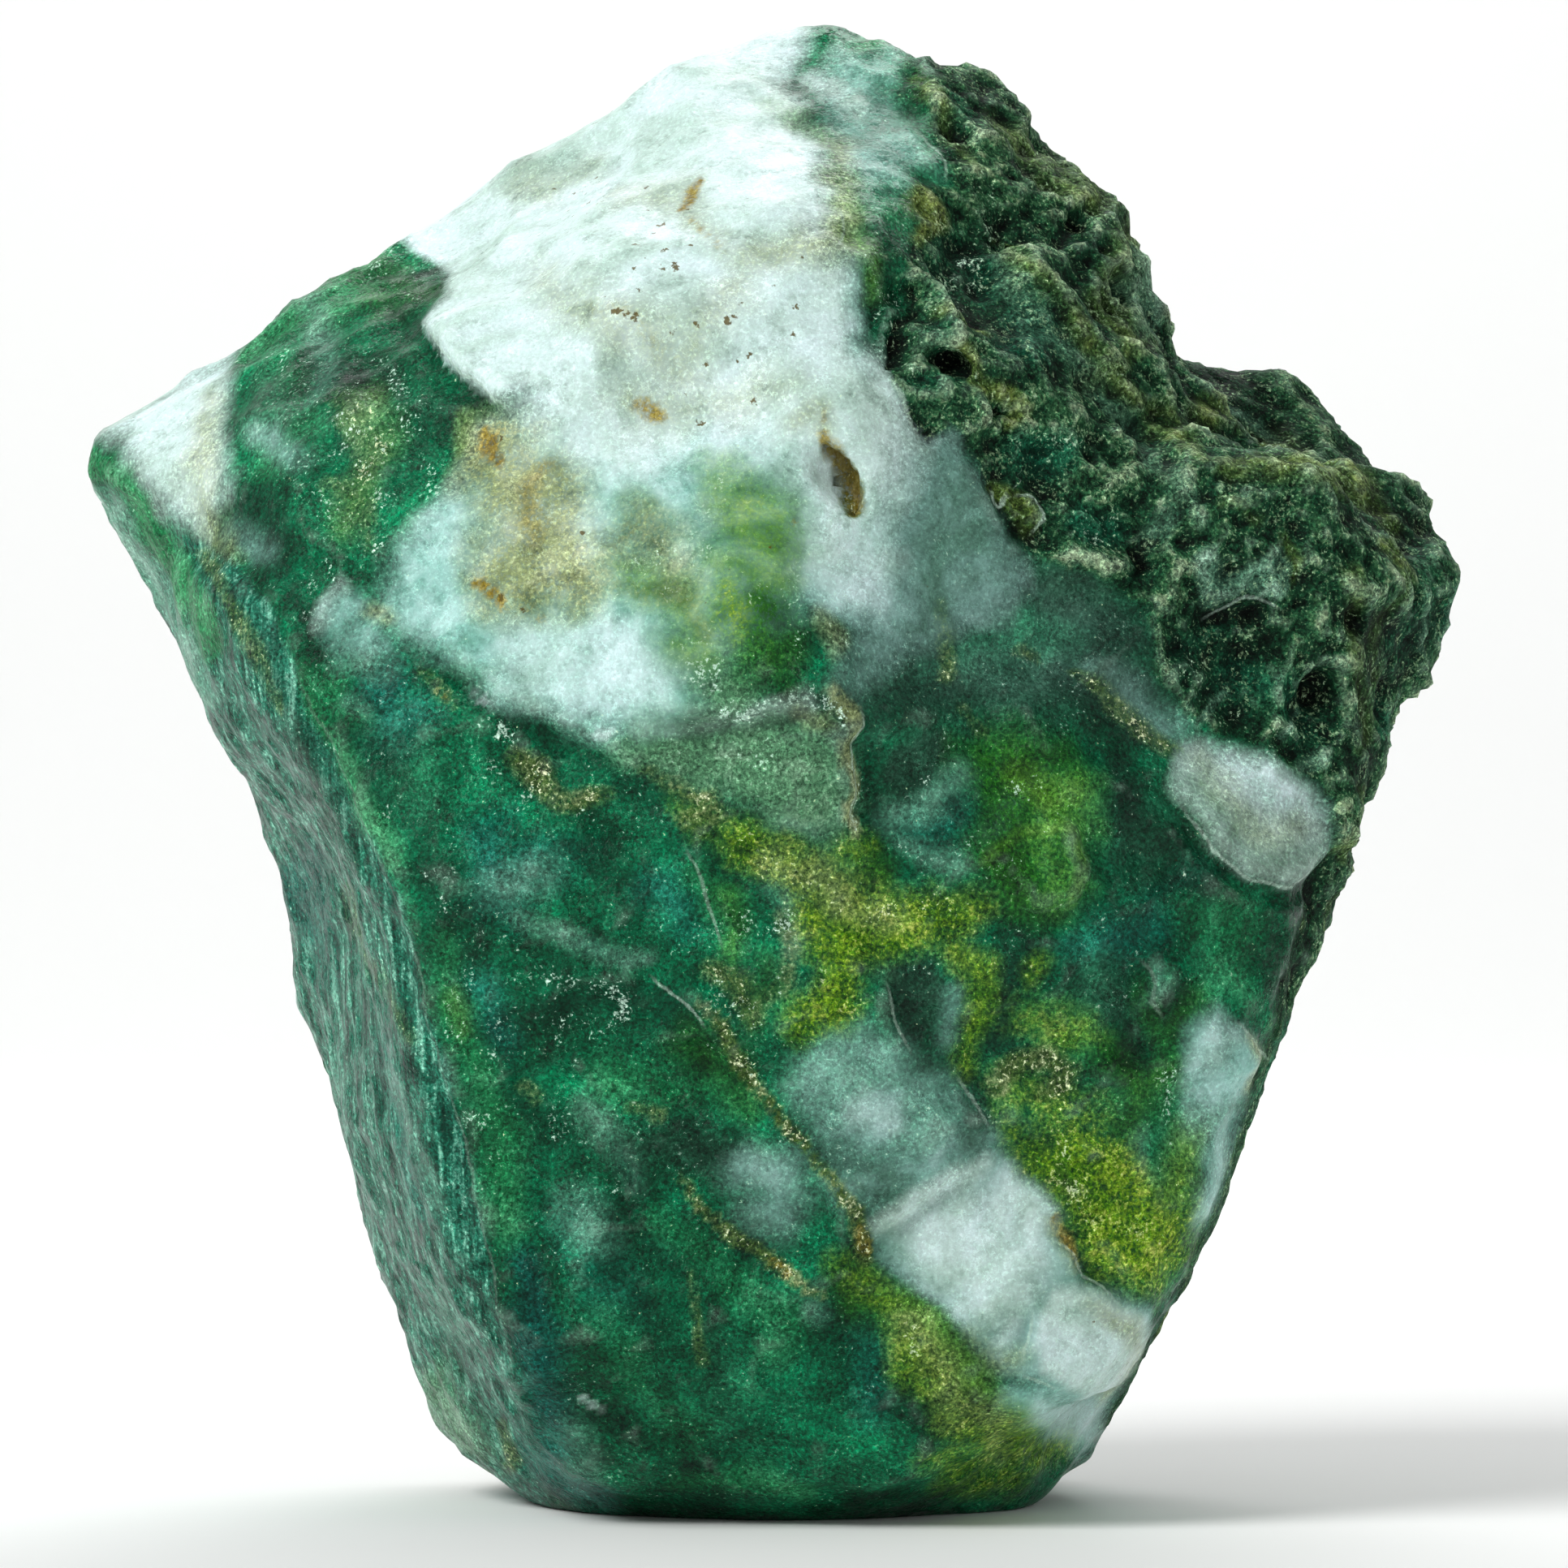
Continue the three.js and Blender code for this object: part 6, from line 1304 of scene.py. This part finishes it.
    # the stone breaks in crystal faces, each turned its own way, with grain and dust on them
    turn = addNode(tree, "ShaderNodeVectorMath", {0: luck, 1: (0.5, 0.5, 0.5)}, operation="SUBTRACT")
    turn = addNode(tree, "ShaderNodeVectorMath", {0: turn, "Scale": byPart["faceTilt"]}, operation="SCALE")
    skin = addNode(tree, "ShaderNodeNewGeometry", output=1)
    faces = addNode(tree, "ShaderNodeVectorMath", {0: skin, 1: turn}, operation="ADD")
    faces = addNode(tree, "ShaderNodeVectorMath", {0: faces}, operation="NORMALIZE")
    heights = addNode(tree, "ShaderNodeMath", {0: dust, 1: 0.5, 2: grain}, operation="MULTIPLY_ADD")
    bump = addNode(tree, "ShaderNodeBump", {
        "Height": heights, "Strength": byPart["faceGrain"], "Distance": look["grainDepth"] * mm,
        "Normal": faces})

    stained = addNode(tree, "ShaderNodeMath", {0: covers["rust"], 1: covers["brown"]}, operation="MAXIMUM")
    glowing = addNode(tree, "ShaderNodeMath", {0: calm, 1: stained}, operation="SUBTRACT", use_clamp=True)
    glowing = addNode(tree, "ShaderNodeMath", {0: glowing, 1: look["milkShare"]}, operation="MULTIPLY")
    surface = addNode(tree, "ShaderNodeBsdfPrincipled", {
        "Base Color": colour, "Roughness": byPart["shine"], "IOR": look["ior"],
        "Specular IOR Level": look["specular"], "Normal": bump, "Subsurface Weight": glowing,
        "Subsurface Radius": look["milkRadii"], "Subsurface Scale": look["milkDepth"] * mm})
    addNode(tree, "ShaderNodeOutputMaterial", {"Surface": surface})
    return material


stone.data.materials.clear()
stone.data.materials.append(makeAgate())
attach(stone, "root")
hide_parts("stone")
print("stone dressed")

# The floor: matte white card that sweeps up behind the stone.
floorCard = {
    "halfWidth": 900,    # mm
    "front": -900,
    "back": 850,
    "wall": 900,
    "bend": 400,
    "colour": "#f4f5f4",
}


def makeFloor():
    card = floorCard
    bpy.ops.object.select_all(action="DESELECT")
    bpy.ops.mesh.primitive_plane_add(size=2)
    floor = bpy.context.object
    floor.name = "floorCard"
    for vertex in floor.data.vertices:
        vertex.co.x *= card["halfWidth"] * mm
        vertex.co.y = (card["back"] if vertex.co.y > 0 else card["front"]) * mm
    bpy.ops.object.mode_set(mode="EDIT")
    bpy.ops.mesh.select_mode(type="EDGE")
    bpy.ops.mesh.select_all(action="DESELECT")
    bpy.ops.object.mode_set(mode="OBJECT")
    for edge in floor.data.edges:
        edge.select = all(floor.data.vertices[i].co.y > 0 for i in edge.vertices)
    bpy.ops.object.mode_set(mode="EDIT")
    bpy.ops.mesh.extrude_region_move(TRANSFORM_OT_translate={"value": (0, 0, card["wall"] * mm)})
    bpy.ops.object.mode_set(mode="OBJECT")
    for edge in floor.data.edges:
        ends = [floor.data.vertices[i].co for i in edge.vertices]
        edge.select = all(end.y > 0 and abs(end.z) < mm for end in ends)
    bpy.ops.object.mode_set(mode="EDIT")
    bpy.ops.mesh.bevel(offset=card["bend"] * mm, segments=24, affect="EDGES")
    bpy.ops.object.mode_set(mode="OBJECT")
    floor.data.shade_smooth()
    material = bpy.data.materials.new("matteWhiteCard")
    material.use_nodes = True
    surface = material.node_tree.nodes["Principled BSDF"]
    surface.inputs["Base Color"].default_value = linearOf(card["colour"])
    surface.inputs["Roughness"].default_value = 0.9
    floor.data.materials.append(material)


makeFloor()
print("floor laid")

# Soft studio light: a broad light high on the left, a weak one low on the right, and pale air.
studio = {
    "lights": [
        # name, place in mm, what it points at in mm, size in mm, watts
        ("keyLight", (-260, -230, 330), (0, 0, 24), 260, 1.7),
        ("fillLight", (330, -240, 90), (0, 0, 24), 260, 0.15),
        ("backLight", (60, 260, 330), (0, 0, 24), 220, 0.5),
        ("wallLight", (0, 500, 640), (0, 850, 100), 500, 2.4),
    ],
    "airColour": "#ffffff",
    "airStrength": 0.32,
}


def lookAt(thing, target):
    towards = Vector(target) - thing.location
    thing.rotation_euler = towards.to_track_quat("-Z", "Y").to_euler()


def makeLights():
    for name, place, target, size, watts in studio["lights"]:
        light = bpy.data.lights.new(name, "AREA")
        light.shape = "DISK"
        light.size = size * mm
        light.energy = watts
        lamp = bpy.data.objects.new(name, light)
        bpy.context.scene.collection.objects.link(lamp)
        lamp.location = Vector(place) * mm
        lookAt(lamp, Vector(target) * mm)
    world = bpy.data.worlds.new("paleAir")
    world.use_nodes = True
    air = world.node_tree.nodes["Background"]
    air.inputs["Color"].default_value = linearOf(studio["airColour"])
    air.inputs["Strength"].default_value = studio["airStrength"]
    bpy.context.scene.world = world


def makeCamera():
    camera = bpy.data.cameras.new("camera")
    camera.lens = view["lens"]
    camera.sensor_width = view["sensor"]
    camera.clip_start = 0.01
    holder = bpy.data.objects.new("camera", camera)
    bpy.context.scene.collection.objects.link(holder)
    holder.location = Vector((view["aimX"], -view["distance"], view["aimZ"])) * mm
    holder.rotation_euler = (math.radians(90), 0, 0)
    bpy.context.scene.camera = holder
    bpy.context.scene.view_settings.view_transform = "Standard"


makeLights()
makeCamera()
print("lights and camera set")
